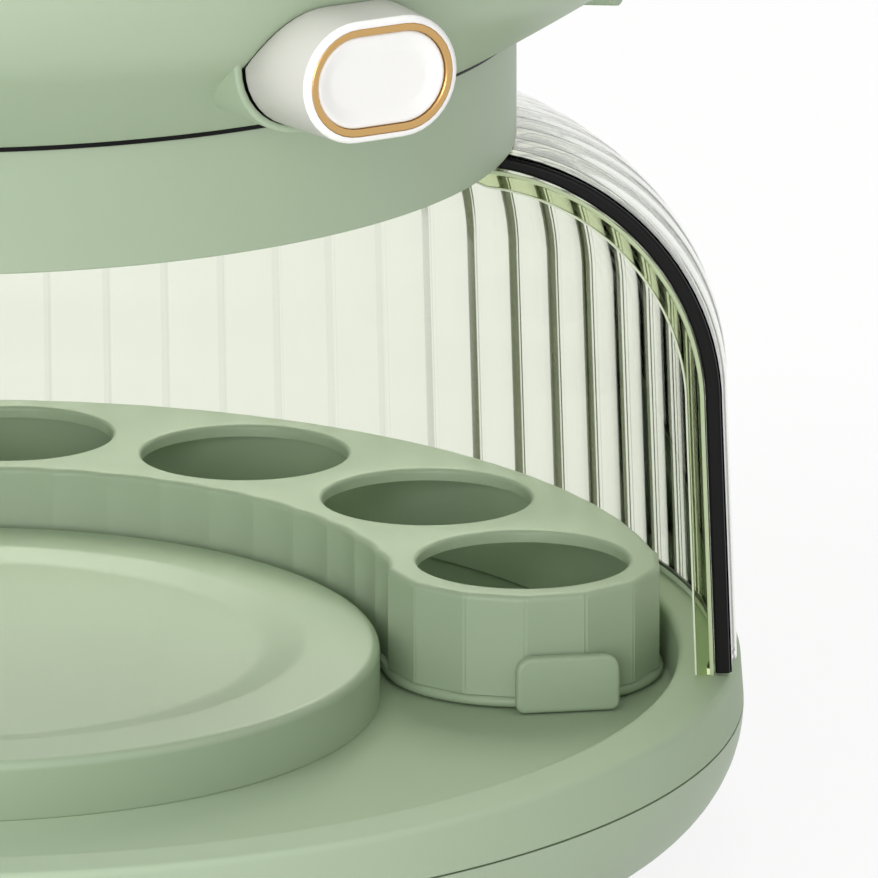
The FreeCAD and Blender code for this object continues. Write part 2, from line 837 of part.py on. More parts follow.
def shell_steps(inset, foot_z, neck_top, lip=None):
    # Section of one shell, its outer face set in from the door's outer face.
    centre = size.shell_wall_radius - size.shoulder_radius
    steps = []
    outer_neck = size.neck_radius - inset
    for offset, outside in ((inset, True), (inset + size.shell_wall, False)):
        reach = size.shoulder_radius - offset
        neck = size.neck_radius - offset
        join_z = shell_top_z + root_of(reach * reach - (neck - centre) * (neck - centre))
        foot = (size.shell_foot_radius - offset, foot_z)
        shoulder = (size.shell_wall_radius - offset, shell_top_z)
        if outside:
            steps += [foot, shoulder, (neck, join_z, reach)]
            if lip is not None:
                steps += [(outer_neck, lip), (outer_neck + size.door_lip, lip),
                          (outer_neck + size.door_lip, lip + size.door_lip_height),
                          (outer_neck, lip + size.door_lip_height)]
            steps += [(neck, neck_top)]
        else:
            steps += [(neck, neck_top), (neck, join_z), (*shoulder, -reach), foot]
    return steps


shell_start = (as_size(180) - size.shell_span) / 2
web_z = collar_top_z - size.collar_web
ledge_z = collar_z + size.collar_ledge_height
door_inset = zero
rear_inset = size.shell_wall + size.shell_gap


def make_door():
    steps = shell_steps(door_inset, size.rim_height + size.door_foot_gap, web_z - size.neck_top_gap,
                        ledge_z + size.door_hang_gap)
    clear = new_body("door_turning")
    revolve(clear, steps, size.shell_span - size.strip_span * 2)
    turned(clear, shell_start + size.strip_span)
    keep(clear, "front_door")
    for label, start in (("door_strip_right", shell_start),
                         ("door_strip_left", shell_start + size.shell_span - size.strip_span)):
        strip = new_body(label + "_turning")
        revolve(strip, steps, size.strip_span)
        turned(strip, start)
        keep(strip, label)


collar_screw_z = collar_top_z - size.collar_web - size.collar_screw_drop


def radial_cylinder(name, radius, start, end, turn, z):
    made = cylinder(name, radius, end - start, start * cosine(turn), start * sine(turn), z)
    outward = FreeCAD.Rotation(FreeCAD.Vector(0, 0, 1), turn.value)
    lie = FreeCAD.Rotation(FreeCAD.Vector(0, 1, 0), 90)
    made.Placement.Rotation = outward.multiply(lie)
    return made


def collar_turns():
    first = as_size(90) - size.collar_screw_turn * (size.collar_screw_count - 1) / 2
    return [first + size.collar_screw_turn * index for index in range(int(size.collar_screw_count.value))]


rear_neck_inner = size.neck_radius - rear_inset - size.shell_wall
skirt_outer = rear_neck_inner - size.neck_fit
skirt_inner = skirt_outer - size.collar_inner_skirt


def make_rear_dome():
    body = new_body("rear_turning")
    revolve(body, shell_steps(rear_inset, size.rim_height, web_z - size.neck_top_gap), size.shell_span)
    turned(body, shell_start)
    tools = [radial_cylinder("neck_hole_%d" % index, size.screw_radius + size.screw_clearance, skirt_inner,
                             size.neck_radius - rear_inset - size.shell_wall / 4, turn, collar_screw_z)
             for index, turn in enumerate(collar_turns())]
    keep(cut("rear_cut", body, joined("neck_holes", tools)), "rear_dome")


def make_collar():
    body = new_body("collar_turning")
    channel = size.collar_radius - size.collar_wall
    ledge = size.neck_radius + size.collar_running_gap
    skirt_z = web_z - size.collar_skirt_drop
    revolve(body, [
        (size.collar_radius, collar_z),
        (size.collar_radius, collar_top_z),
        (skirt_inner, collar_top_z),
        (skirt_inner, skirt_z),
        (skirt_outer, skirt_z),
        (skirt_outer, web_z),
        (channel, web_z),
        (channel, ledge_z),
        (ledge, ledge_z),
        (ledge, collar_z),
    ])
    tools = [radial_cylinder("skirt_hole_%d" % index, size.screw_radius + size.screw_clearance,
                             skirt_inner - size.collar_wall, skirt_outer + size.neck_fit, turn, collar_screw_z)
             for index, turn in enumerate(collar_turns())]
    keep(cut("collar_cut", body, joined("skirt_holes", tools)), "collar_ring")

    gasket = new_body("gasket_turning")
    outer = size.collar_radius - size.gasket_inset
    revolve(gasket, [
        (outer - size.gasket_width, collar_top_z),
        (outer, collar_top_z),
        (outer, bowl_z),
        (outer - size.gasket_width, bowl_z),
    ])
    keep(gasket, "collar_gasket")

    screws = []
    for index, turn in enumerate(collar_turns()):
        chord = skirt_inner * skirt_inner - size.screw_head_radius * size.screw_head_radius
        flat = root_of(chord) - size.neck_fit
        head = radial_cylinder("collar_head_%d" % index, size.screw_head_radius, flat - size.screw_head_height, flat,
                               turn, collar_screw_z)
        shank = radial_cylinder("collar_shank_%d" % index, size.screw_radius, flat,
                                rear_neck_inner + size.shell_wall / 2, turn, collar_screw_z)
        screws.append(joined("collar_screw_%d" % index, [head, shank]))
    keep(group("collar_screw_group", screws), "collar_screws")


# Steam bowl and handles

belly_radius = size.bowl_base_radius + size.belly_run
belly_z = bowl_z + size.belly_rise
belly_chord = root_of(size.belly_run * size.belly_run + size.belly_rise * size.belly_rise)
belly_depth = root_of(size.belly_round * size.belly_round - belly_chord * belly_chord / 4)
belly_centre = size.bowl_base_radius + size.belly_run / 2 - size.belly_rise / belly_chord * belly_depth
belly_centre_z = bowl_z + size.belly_rise / 2 + size.belly_run / belly_chord * belly_depth
bowl_radius = belly_radius + size.round_run
bowl_wall_z = belly_z + size.round_rise
bowl_round = (size.round_run * size.round_run + size.round_rise * size.round_rise) / (size.round_run * 2)
bowl_rim_z = bowl_wall_z + size.bowl_lip_height
bowl_inside = bowl_radius - size.bowl_wall


def filled_bowl(name):
    # The bowl's outer form as a solid, for trimming what stands against it.
    body = new_body(name)
    return revolve(body, [
        (zero, bowl_z),
        (size.bowl_base_radius, bowl_z),
        (belly_radius, belly_z, size.belly_round),
        (bowl_radius, bowl_wall_z, bowl_round),
        (bowl_radius, bowl_rim_z),
        (zero, bowl_rim_z),
    ])


def make_bowl():
    body = new_body("bowl_turning")
    centre = bowl_radius - bowl_round
    share = (bowl_round - size.bowl_wall) / bowl_round
    inner_belly = centre + (belly_radius - centre) * share
    inner_belly_z = bowl_wall_z + (belly_z - bowl_wall_z) * share
    inner_floor_z = bowl_z + size.bowl_wall
    inner_round = size.belly_round - size.bowl_wall
    drop = belly_centre_z - inner_floor_z
    inner_floor = belly_centre + root_of(inner_round * inner_round - drop * drop)
    spigot = skirt_inner - size.spigot_clearance
    revolve(body, [
        (zero, bowl_z),
        (spigot - size.spigot_wall, bowl_z),
        (spigot - size.spigot_wall, bowl_z - size.spigot_height),
        (spigot, bowl_z - size.spigot_height),
        (spigot, bowl_z),
        (size.bowl_base_radius, bowl_z),
        (belly_radius, belly_z, size.belly_round),
        (bowl_radius, bowl_wall_z, bowl_round),
        (bowl_radius, bowl_rim_z),
        (bowl_inside, bowl_rim_z),
        (bowl_inside, bowl_wall_z),
        (inner_belly, inner_belly_z, size.bowl_wall - bowl_round),
        (inner_floor, inner_floor_z, -inner_round),
        (zero, inner_floor_z),
    ])
    steam_holes = ring_of(size.inner_steam_circle, size.inner_steam_count, zero, size.steam_hole_radius)
    steam_holes += ring_of(size.outer_steam_circle, size.outer_steam_count, zero, size.steam_hole_radius)
    drill(body, steam_holes + [(zero, zero, size.steam_hole_radius)], bowl_z, size.bowl_wall)

    added = []
    for index, turn in enumerate(handle_turns):
        outside = capsule("boss_outer_%d" % index, size.handle_half_width + size.boss_wall,
                          size.handle_half_height + size.boss_wall, boss_root, boss_reach)
        socket = capsule("boss_socket_%d" % index, size.handle_half_width + size.boss_fit,
                         size.handle_half_height + size.boss_fit, handle_root, handle_reach)
        boss = cut("boss_%d" % index, outside, socket)
        added.append(turned(boss, turn))
        grip = block("grip_%d" % index, grip_reach - grip_root, size.grip_width, size.grip_height,
                     x=grip_root, y=-size.grip_width / 2, z=bowl_z + size.grip_level)
        added.append(turned(group("grip_turned_%d" % index, [grip]), as_size(180 * index)))
    outside_parts = cut("bowl_added", joined("bowl_extras", added), filled_bowl("bowl_trim"))
    keep(joined("bowl_join", [body, outside_parts]), "steam_bowl")


handle_turns = (size.handle_turn, size.handle_turn + 180)


def make_handles():
    trim = filled_bowl("handle_trim")
    ring_half_width = size.handle_half_width - size.ring_border
    ring_half_height = size.handle_half_height - size.ring_border
    cap_half_width = ring_half_width - size.ring_width
    cap_half_height = ring_half_height - size.ring_width
    cap_root = handle_reach - size.cap_depth
    ring_root = handle_reach - size.ring_depth
    beyond = handle_reach + size.cap_depth
    for side, turn in zip(("front", "rear"), handle_turns):
        bar = capsule("bar_" + side, size.handle_half_width, size.handle_half_height, handle_root,
                      handle_reach)
        cap_room = capsule("cap_room_" + side, cap_half_width, cap_half_height, cap_root, beyond)
        ring_room = capsule("ring_room_" + side, ring_half_width, ring_half_height, ring_root, beyond)
        hollow = cut("bar_hollow_" + side, bar, joined("bar_rooms_" + side, [cap_room, ring_room]))
        keep(cut("sleeve_" + side, turned(hollow, turn), trim), "handle_sleeve_" + side)

        cap = capsule("cap_" + side, cap_half_width - size.cap_fit, cap_half_height - size.cap_fit, cap_root,
                      handle_reach - size.cap_recess)
        keep(turned(group("cap_turned_" + side, [cap]), turn), "handle_cap_" + side)

        ring_outer = capsule("ring_outer_" + side, ring_half_width - size.cap_fit, ring_half_height - size.cap_fit,
                             ring_root, handle_reach + size.ring_proud)
        ring_inner = capsule("ring_inner_" + side, cap_half_width, cap_half_height, cap_root, beyond)
        keep(turned(cut("ring_cut_" + side, ring_outer, ring_inner), turn), "handle_ring_" + side)


# Lid and knob

lid_edge_z = bowl_rim_z + size.lid_edge_height
lid_radius = bowl_radius - size.lid_edge_inset
lid_top_z = lid_edge_z + size.lid_rise


def crown_radius(reach, rise):
    return (reach * reach + rise * rise) / (rise * 2)


def make_lid():
    body = new_body("lid_turning")
    hole = size.knob_screw_radius + size.screw_clearance
    skirt_outside = bowl_inside - size.lid_skirt_clearance
    skirt_inside = skirt_outside - size.lid_skirt_wall
    under_rise = lid_top_z - size.lid_wall - bowl_rim_z
    revolve(body, [
        (hole, lid_top_z - size.lid_wall),
        (skirt_inside, bowl_rim_z, crown_radius(skirt_inside - hole, under_rise) * -1),
        (skirt_inside, bowl_rim_z - size.lid_skirt_height),
        (skirt_outside, bowl_rim_z - size.lid_skirt_height),
        (skirt_outside, bowl_rim_z),
        (lid_radius, bowl_rim_z),
        (lid_radius, lid_edge_z),
        (hole, lid_top_z, crown_radius(lid_radius - hole, size.lid_rise)),
    ])
    keep(body, "bowl_lid")

    knob = new_body("knob_turning")
    stem_top = lid_top_z + size.knob_stem_height
    knob_top = stem_top + size.knob_height
    ring_inner = size.knob_ring_radius - size.ring_width
    seat = knob_top - size.ring_depth
    bore_top = lid_top_z + size.knob_screw_bite + size.screw_clearance
    revolve(knob, [
        (hole, lid_top_z),
        (size.knob_stem_radius, lid_top_z),
        (size.knob_stem_radius, stem_top),
        (size.knob_radius, stem_top),
        (size.knob_radius, knob_top - size.knob_round),
        (size.knob_radius - size.knob_round, knob_top, size.knob_round),
        (size.knob_ring_radius, knob_top),
        (size.knob_ring_radius, seat),
        (ring_inner, seat),
        (ring_inner, knob_top),
        (zero, knob_top),
        (zero, bore_top),
        (hole, bore_top),
    ])
    keep(knob, "lid_knob")

    ring = new_body("knob_ring_turning")
    revolve(ring, [
        (ring_inner + size.cap_fit, seat),
        (size.knob_ring_radius - size.cap_fit, seat),
        (size.knob_ring_radius - size.cap_fit, knob_top + size.ring_proud),
        (ring_inner + size.cap_fit, knob_top + size.ring_proud),
    ])
    keep(ring, "knob_ring")

    head_z = lid_top_z - size.lid_wall
    head = cylinder("knob_screw_top", size.knob_screw_head, size.knob_screw_head_height,
                    z=head_z - size.knob_screw_head_height)
    shank = cylinder("knob_screw_shank", size.knob_screw_radius, size.lid_wall + size.knob_screw_bite, z=head_z)
    keep(joined("knob_screw_join", [head, shank]), "knob_screw")


make_base_deck()
make_base_tub()
make_case_fasteners()
make_feet()
make_heating_plate()
make_heater()
make_controls()
make_egg_tray()
make_rear_dome()
make_door()
make_collar()
make_bowl()
make_handles()
make_lid()
document.recompute()

faults = [thing.Name for thing in document.Objects if "Invalid" in thing.State or "Error" in thing.State]
for node in nodes:
    if node.Shape.isNull() or not node.Shape.isValid() or not node.Shape.Solids:
        faults.append(node.Label)
if faults:
    raise RuntimeError("failed: " + ", ".join(faults))

os.makedirs("parts", exist_ok=True)
for node in nodes:
    node.Shape.exportStep("parts/%s.step" % node.Label)
    box = node.Shape.optimalBoundingBox()
    print("%-20s solids %2d  volume %10.1f  z %6.1f to %6.1f" % (
        node.Label, len(node.Shape.Solids), node.Shape.Volume, box.ZMin, box.ZMax))
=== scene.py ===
import math

import bpy
import bmesh
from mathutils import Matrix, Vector


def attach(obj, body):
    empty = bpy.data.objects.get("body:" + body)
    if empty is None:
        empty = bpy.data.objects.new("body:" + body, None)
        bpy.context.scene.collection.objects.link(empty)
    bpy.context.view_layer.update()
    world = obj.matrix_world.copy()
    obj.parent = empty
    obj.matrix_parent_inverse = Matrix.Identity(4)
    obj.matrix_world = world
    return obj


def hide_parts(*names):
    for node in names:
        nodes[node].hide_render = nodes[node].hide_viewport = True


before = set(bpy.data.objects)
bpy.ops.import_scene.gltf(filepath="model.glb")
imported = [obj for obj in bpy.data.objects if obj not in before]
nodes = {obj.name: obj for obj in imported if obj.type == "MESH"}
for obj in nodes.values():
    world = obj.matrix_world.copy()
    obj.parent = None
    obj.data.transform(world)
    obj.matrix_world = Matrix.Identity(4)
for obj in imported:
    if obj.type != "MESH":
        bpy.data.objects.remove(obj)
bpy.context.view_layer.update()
scene = bpy.context.scene
scene.view_settings.view_transform = "Standard"
mm = 0.001
weldReach = 0.002 * mm
pureWhite = (1, 1, 1, 1)
print("frame loaded:", len(nodes), "nodes")


# Camera, at the photograph's place

cameraSetup = {
    "spot": (0.2761, -2.3356, 0.707),
    "heading": 94.61,      # way the camera looks, degrees round from +X
    "down": 15.15,
    "lens": 564.87,
    "sensor": 36.0,
    "clip": (0.05, 60.0),
}


def placeCamera(setup):
    data = bpy.data.cameras.new("photoCamera")
    data.lens = setup["lens"]
    data.sensor_width = setup["sensor"]
    data.sensor_fit = "HORIZONTAL"
    data.clip_start, data.clip_end = setup["clip"]
    camera = bpy.data.objects.new("photoCamera", data)
    scene.collection.objects.link(camera)
    camera.location = setup["spot"]
    camera.rotation_euler = (math.radians(90 - setup["down"]), 0, math.radians(setup["heading"] - 90))
    scene.camera = camera


placeCamera(cameraSetup)
print("camera placed")


# Light and background

studio = {
    "ambient": 0.5,        # world strength as it lights the object
    "aim": (0.0, 0.0, 0.09),
    "distance": 2.4,
    "boxSize": 1.3,
    "boxes": {             # heading and rise in degrees, then power
        "frontBox": (-95, 12, 22.8),
        "leftBox": (-140, 50, 30.7),
        "backBox": (90, 40, 18.0),
    },
    "floorHalf": 12.0,
    "floorZ": -0.2 * mm,   # just under the feet
    "floorTone": (0.86, 0.86, 0.85, 1),
    "floorShade": 0.12,    # how much of the object's shadow the floor shows
}


def feed(tree, socket, value):
    # a link from a socket or from a node's first output, or else a plain value
    if isinstance(value, bpy.types.Node):
        value = value.outputs[0]
    if isinstance(value, bpy.types.NodeSocket):
        tree.links.new(value, socket)
    else:
        socket.default_value = value


def addNode(tree, kind, inputs=None, **settings):
    node = tree.nodes.new(kind)
    for key, value in settings.items():
        setattr(node, key, value)
    for key, value in (inputs or {}).items():
        feed(tree, node.inputs[key], value)
    return node


def calc(tree, operation, *values):
    return addNode(tree, "ShaderNodeMath", dict(enumerate(values)), operation=operation).outputs[0]


def seenRay(tree):
    # camera, mirror and see-through rays all meet the white backdrop
    path = tree.nodes.new("ShaderNodeLightPath")
    seen = calc(tree, "MAXIMUM", path.outputs["Is Camera Ray"], path.outputs["Is Glossy Ray"])
    return calc(tree, "MAXIMUM", seen, path.outputs["Is Transmission Ray"])


def mixedSurface(tree, output, share, first, second):
    mix = addNode(tree, "ShaderNodeMixShader", {0: share, 1: first, 2: second})
    addNode(tree, output, {"Surface": mix})


def emptyMaterial(name):
    material = bpy.data.materials.new(name)
    material.use_nodes = True
    material.node_tree.nodes.clear()
    return material, material.node_tree


def softBox(name, setup, heading, rise, power):
    data = bpy.data.lights.new(name, "AREA")
    data.shape = "DISK"
    data.size = setup["boxSize"]
    data.energy = power
    lamp = bpy.data.objects.new(name, data)
    scene.collection.objects.link(lamp)
    turn, lift = math.radians(heading), math.radians(rise)
    away = Vector((math.cos(lift) * math.cos(turn), math.cos(lift) * math.sin(turn), math.sin(lift)))
    lamp.location = Vector(setup["aim"]) + away * setup["distance"]
    lamp.rotation_euler = (-away).to_track_quat("-Z", "Y").to_euler()


def makeStudio(setup):
    world = bpy.data.worlds.new("studio")
    scene.world = world
    world.use_nodes = True
    tree = world.node_tree
    tree.nodes.clear()
    dim = addNode(tree, "ShaderNodeBackground", {"Color": pureWhite, "Strength": setup["ambient"]})
    plain = addNode(tree, "ShaderNodeBackground", {"Color": pureWhite, "Strength": 1.0})
    mixedSurface(tree, "ShaderNodeOutputWorld", seenRay(tree), dim, plain)
    for name, (heading, rise, power) in setup["boxes"].items():
        softBox(name, setup, heading, rise, power)

    mesh = bpy.data.meshes.new("paleFloor")
    half, level = setup["floorHalf"], setup["floorZ"]
    corners = [(-half, -half, level), (half, -half, level), (half, half, level), (-half, half, level)]
    mesh.from_pydata(corners, [], [(0, 1, 2, 3)])
    floor = bpy.data.objects.new("paleFloor", mesh)
    scene.collection.objects.link(floor)
    material, tree = emptyMaterial("paleFloor")
    matte = addNode(tree, "ShaderNodeBsdfDiffuse", {"Color": setup["floorTone"]})
    glow = addNode(tree, "ShaderNodeEmission", {"Color": pureWhite, "Strength": 1.0})
    share = calc(tree, "MULTIPLY", seenRay(tree), 1 - setup["floorShade"])
    mixedSurface(tree, "ShaderNodeOutputMaterial", share, matte, glow)
    mesh.materials.append(material)


makeStudio(studio)
print("studio lit")


# Finishes

flutes = {
    "pitch": math.radians(4.71),
    "first": math.radians(-5.73),
    "relief": 0.55 * mm,
    "perFlute": 10,
}
# painted shade lines along the grooves between the clear shells' flutes
grooveShadeLines = {
    "slant": (0.2, 0.5),       # Facing values between which a groove's painted shade line comes up
    "leastSlant": 0.02,
    "leastWidth": 0.5,         # share of its width that a line keeps where it faces the eye
    "core": 0.7,               # share of its half width that is evenly dark
    "deepening": 3.0,
}
grainHeight = 0.2 * mm
clearGloss = 0.02


def addSockets(tree, direction, rows):
    for label, kind, *value in rows:
        socket = tree.interface.new_socket(label, in_out=direction, socket_type="NodeSocket" + kind)
        if value:
            socket.default_value = value[0]


def makeMouldGrain():
    # fine moulded skin: soft tone drift, gloss drift and a height for the bump
    group = bpy.data.node_groups.new("mouldGrain", "ShaderNodeTree")
    addSockets(group, "INPUT", (
        ("Drift Scale", "Float", 9.0), ("Grain Scale", "Float", 1600.0),
        ("Tone", "Color", (0.5, 0.5, 0.5, 1)), ("Tone Depth", "Float", 0.05),
        ("Gloss", "Float", 0.4), ("Gloss Drift", "Float", 0.05),
    ))
    addSockets(group, "OUTPUT", (("Color", "Color"), ("Roughness", "Float"), ("Height", "Float")))
    source = group.nodes.new("NodeGroupInput").outputs
    place = group.nodes.new("ShaderNodeTexCoord").outputs["Object"]
    drift, grain = (
        addNode(group, "ShaderNodeTexNoise", {"Vector": place, "Scale": source[scale], "Detail": detail})
        for scale, detail in (("Drift Scale", 3.0), ("Grain Scale", 2.0))
    )
    swing = calc(group, "SUBTRACT", drift, 0.5)
    bright = calc(group, "MULTIPLY_ADD", swing, source["Tone Depth"], 1.0)
    tone = addNode(group, "ShaderNodeVectorMath", {0: source["Tone"], "Scale": bright}, operation="SCALE")
    rough = calc(group, "MULTIPLY_ADD", swing, source["Gloss Drift"], source["Gloss"])
    addNode(group, "NodeGroupOutput", {"Color": tone, "Roughness": rough, "Height": grain})
    return group


mouldGrain = makeMouldGrain()


def mouldedFinish(name, tone, gloss, grainScale=1600.0, grainDepth=0.05, toneDepth=0.05, specular=0.5,
                  metal=0.0):
    material, tree = emptyMaterial(name)
    grain = addNode(tree, "ShaderNodeGroup", {"Tone": (*tone, 1), "Tone Depth": toneDepth, "Gloss": gloss,
                                              "Grain Scale": grainScale}, node_tree=mouldGrain)
    bump = addNode(tree, "ShaderNodeBump", {"Height": grain.outputs["Height"], "Strength": grainDepth,
                                            "Distance": grainHeight})
    shader = addNode(tree, "ShaderNodeBsdfPrincipled", {
        "Base Color": grain.outputs["Color"], "Roughness": grain.outputs["Roughness"], "Normal": bump,
        "Specular IOR Level": specular, "Metallic": metal,
    })
    addNode(tree, "ShaderNodeOutputMaterial", {"Surface": shader})
    return material


def metalFinish(name, tone, gloss):
    return mouldedFinish(name, tone, gloss, grainScale=900.0, grainDepth=0.03, metal=1.0)


def softRamp(tree, value, low, high, start, end):
    limits = {"Value": value, "From Min": low, "From Max": high, "To Min": start, "To Max": end}
    return addNode(tree, "ShaderNodeMapRange", limits, interpolation_type="SMOOTHSTEP").outputs[0]


def angleAbout(tree):
    # angle about the upright axis, in radians
    place = tree.nodes.new("ShaderNodeTexCoord").outputs["Object"]
    parts = addNode(tree, "ShaderNodeSeparateXYZ", {0: place}).outputs
    return calc(tree, "ARCTAN2", parts[1], parts[0])


def paintedGrooveShading(tree, tone, paintedGrooveShade, shadeLineHalf):
    # painted shade: darker along each groove between flutes, more so at a slant, standing in for the dark
    # lines that refraction makes there; the line's half width is a share of the pitch
    steps = calc(tree, "DIVIDE", calc(tree, "SUBTRACT", angleAbout(tree), flutes["first"]), flutes["pitch"])
    offset = calc(tree, "ABSOLUTE", calc(tree, "SUBTRACT", steps, calc(tree, "ROUND", steps)))
    facing = addNode(tree, "ShaderNodeLayerWeight", {"Blend": 0.5}).outputs["Facing"]
    slant = softRamp(tree, facing, *grooveShadeLines["slant"], grooveShadeLines["leastSlant"], 1.0)
    width = calc(tree, "MULTIPLY_ADD", slant, 1 - grooveShadeLines["leastWidth"], grooveShadeLines["leastWidth"])
    reach = calc(tree, "MULTIPLY", width, shadeLineHalf)
    line = softRamp(tree, offset, calc(tree, "MULTIPLY", reach, grooveShadeLines["core"]), reach, 1.0, 0.0)
    depth = calc(tree, "MINIMUM", calc(tree, "MULTIPLY", slant, grooveShadeLines["deepening"]), 1.0)
    mix = addNode(tree, "ShaderNodeMix", data_type="RGBA")
    for index, value in ((0, calc(tree, "MULTIPLY", line, depth)), (6, (*tone, 1)), (7, (*paintedGrooveShade, 1))):
        feed(tree, mix.inputs[index], value)
    return mix.outputs[2]


def clearFinish(name, tone, paintedGrooveShade=None, shadeLineHalf=0.0, bending=1.25):
    # clear tinted plastic, with painted shade along the flute grooves when a groove tone is given; light from
    # the lamps passes straight through it
    material, tree = emptyMaterial(name)
    shader = addNode(tree, "ShaderNodeBsdfPrincipled", {
        "Base Color": (*tone, 1), "Roughness": clearGloss, "IOR": bending, "Transmission Weight": 1.0,
    })
    if paintedGrooveShade:
        feed(tree, shader.inputs["Base Color"], paintedGrooveShading(tree, tone, paintedGrooveShade, shadeLineHalf))
    passing = addNode(tree, "ShaderNodeBsdfTransparent", {"Color": (*tone, 1)})
    path = tree.nodes.new("ShaderNodeLightPath")
    mixedSurface(tree, "ShaderNodeOutputMaterial", path.outputs["Is Shadow Ray"], shader, passing)
    return material


sageGreen = mouldedFinish("sageGreen", (0.400, 0.492, 0.349), 0.42, specular=0.4)
sageDeck = mouldedFinish("sageDeck", (0.412, 0.506, 0.36), 0.54, specular=0.1)
sagePlate = mouldedFinish("sagePlate", (0.392, 0.485, 0.342), 0.38, grainScale=2200.0, grainDepth=0.08)
softWhite = mouldedFinish("softWhite", (0.93, 0.925, 0.905), 0.3, toneDepth=0.02)
# painted shade: a grey copy of softWhite for the sides of the white handle sleeves
sleevePaintedShade = mouldedFinish("sleevePaintedShade", (0.56, 0.55, 0.515), 0.4, toneDepth=0.02)
satinGold = metalFinish("satinGold", (0.63, 0.40, 0.16), 0.35)
# black rubber, and also the black band of painted shade at each handle sleeve's root
blackRubberAndRootShade = mouldedFinish("blackRubberAndRootShade", (0.006, 0.006, 0.006), 0.4, specular=0.12)
plainSteel = metalFinish("plainSteel", (0.55, 0.55, 0.56), 0.3)
darkPlastic = mouldedFinish("darkPlastic", (0.03, 0.03, 0.032), 0.5)
pinBrass = metalFinish("pinBrass", (0.62, 0.5, 0.25), 0.25)
paleCeramic = mouldedFinish("paleCeramic", (0.78, 0.76, 0.7), 0.55)
lampAmber = mouldedFinish("lampAmber", (0.75, 0.3, 0.05), 0.15)
shellTone = (0.925, 0.942, 0.88)
# painted shade for the dark lines along the shells' flute grooves
paintedGrooveShade = (0.045, 0.054, 0.026)
clearShell = clearFinish("clearShell", shellTone, paintedGrooveShade, 0.15)
clearDoor = clearFinish("clearDoor", shellTone, paintedGrooveShade, 0.03)
clearLid = clearFinish("clearLid", (0.93, 0.965, 0.89))
shellEdge = clearFinish("shellEdge", (0.62, 0.72, 0.45))
edgeBand = clearFinish("edgeBand", (0.69, 0.76, 0.52), bending=1.02)
# painted highlight: a pale line along the inner edge of the rear dome's ends
paintedEdgeHighlight = mouldedFinish("paintedEdgeHighlight", (0.72, 0.77, 0.60), 0.2, toneDepth=0.02)
# painted highlight: a white line along the rear dome's foot
paintedFootHighlight = mouldedFinish("paintedFootHighlight", (0.95, 0.96, 0.92), 0.2, toneDepth=0.02)
# painted shade: a dark line just above the rear dome's foot
paintedFootShade = mouldedFinish("paintedFootShade", (0.03, 0.04, 0.02), 0.3, specular=0.3)
edgeGreen = mouldedFinish("edgeGreen", (0.50, 0.58, 0.36), 0.25, toneDepth=0.03)

# nodes that are shown as they come; the others are replaced below
nodeFinishes = (
    (sageGreen, "base_tub", "button_bezel"),
    (blackRubberAndRootShade, "plate_seal", "rubber_feet"),
    (plainSteel, "heater_ring", "plate_screws", "case_screws", "collar_screws", "knob_screw"),
    (darkPlastic, "thermostat", "power_switch", "power_inlet"),
    (paleCeramic, "thermal_fuse", "terminal_block"),
    (pinBrass, "inlet_pins"),
    (lampAmber, "indicator_lens"),
    (softWhite, "power_button"),
)
for material, *labels in nodeFinishes:
    for label in labels:
        nodes[label].data.materials.clear()
        nodes[label].data.materials.append(material)
print("finishes set")


# Turned pieces: a section goes round the upright axis, with flutes cut into the marked points

def makeTurning():
    tree = bpy.data.node_groups.new("turning", "GeometryNodeTree")
    addSockets(tree, "INPUT", (
        ("Geometry", "Geometry"), ("Start", "Float", 0.0), ("Span", "Float", math.tau),
        ("Relief", "Float", 0.0), ("Pitch", "Float", 1.0), ("First", "Float", 0.0), ("Steps", "Int", 240),
        ("Caps", "Bool"), ("Material", "Material"),
    ))
    addSockets(tree, "OUTPUT", (("Geometry", "Geometry"),))

    source = tree.nodes.new("NodeGroupInput").outputs
    section = addNode(tree, "GeometryNodeMeshToCurve", {0: source["Geometry"]})
    line = addNode(tree, "GeometryNodeCurvePrimitiveLine", {"Start": (0, 0, 0), "End": (0, 0, 1)})
    path = addNode(tree, "GeometryNodeResampleCurve", {"Curve": line, "Count": source["Steps"]})
    sweep = addNode(tree, "GeometryNodeCurveToMesh", {"Curve": path, "Profile Curve": section,
                                                      "Fill Caps": source["Caps"]})
    spot = tree.nodes.new("GeometryNodeInputPosition")
    parts = addNode(tree, "ShaderNodeSeparateXYZ", {0: spot}).outputs
    turn = calc(tree, "MULTIPLY_ADD", parts[2], source["Span"], source["Start"])
    flute = addNode(tree, "GeometryNodeInputNamedAttribute", {"Name": "flute"}, data_type="FLOAT")
    share = calc(tree, "DIVIDE", calc(tree, "SUBTRACT", turn, source["First"]), source["Pitch"])
    wave = calc(tree, "ABSOLUTE", calc(tree, "SINE", calc(tree, "MULTIPLY", share, math.pi)))
    depth = calc(tree, "MULTIPLY", calc(tree, "SUBTRACT", wave, 1.0), source["Relief"])
    radius = calc(tree, "MULTIPLY_ADD", depth, flute, parts[0])
    x = calc(tree, "MULTIPLY", radius, calc(tree, "COSINE", turn))
    y = calc(tree, "MULTIPLY", radius, calc(tree, "SINE", turn))
    placed = addNode(tree, "ShaderNodeCombineXYZ", {0: x, 1: y, 2: parts[1]})
    moved = addNode(tree, "GeometryNodeSetPosition", {"Geometry": sweep, "Position": placed})
    welded = addNode(tree, "GeometryNodeMergeByDistance", {"Geometry": moved, "Distance": weldReach})
    whole = addNode(tree, "GeometryNodeRealizeInstances", {"Geometry": welded})
    coloured = addNode(tree, "GeometryNodeSetMaterial", {"Geometry": whole, "Material": source["Material"]})
    addNode(tree, "NodeGroupOutput", {0: coloured})
    return tree


turning = makeTurning()
softening = {
    "room": 0.45,          # share of the shorter side that a rounding may take
    "hold": 0.3,           # length kept straight beside a rounding
    "leastHold": 0.02,
}


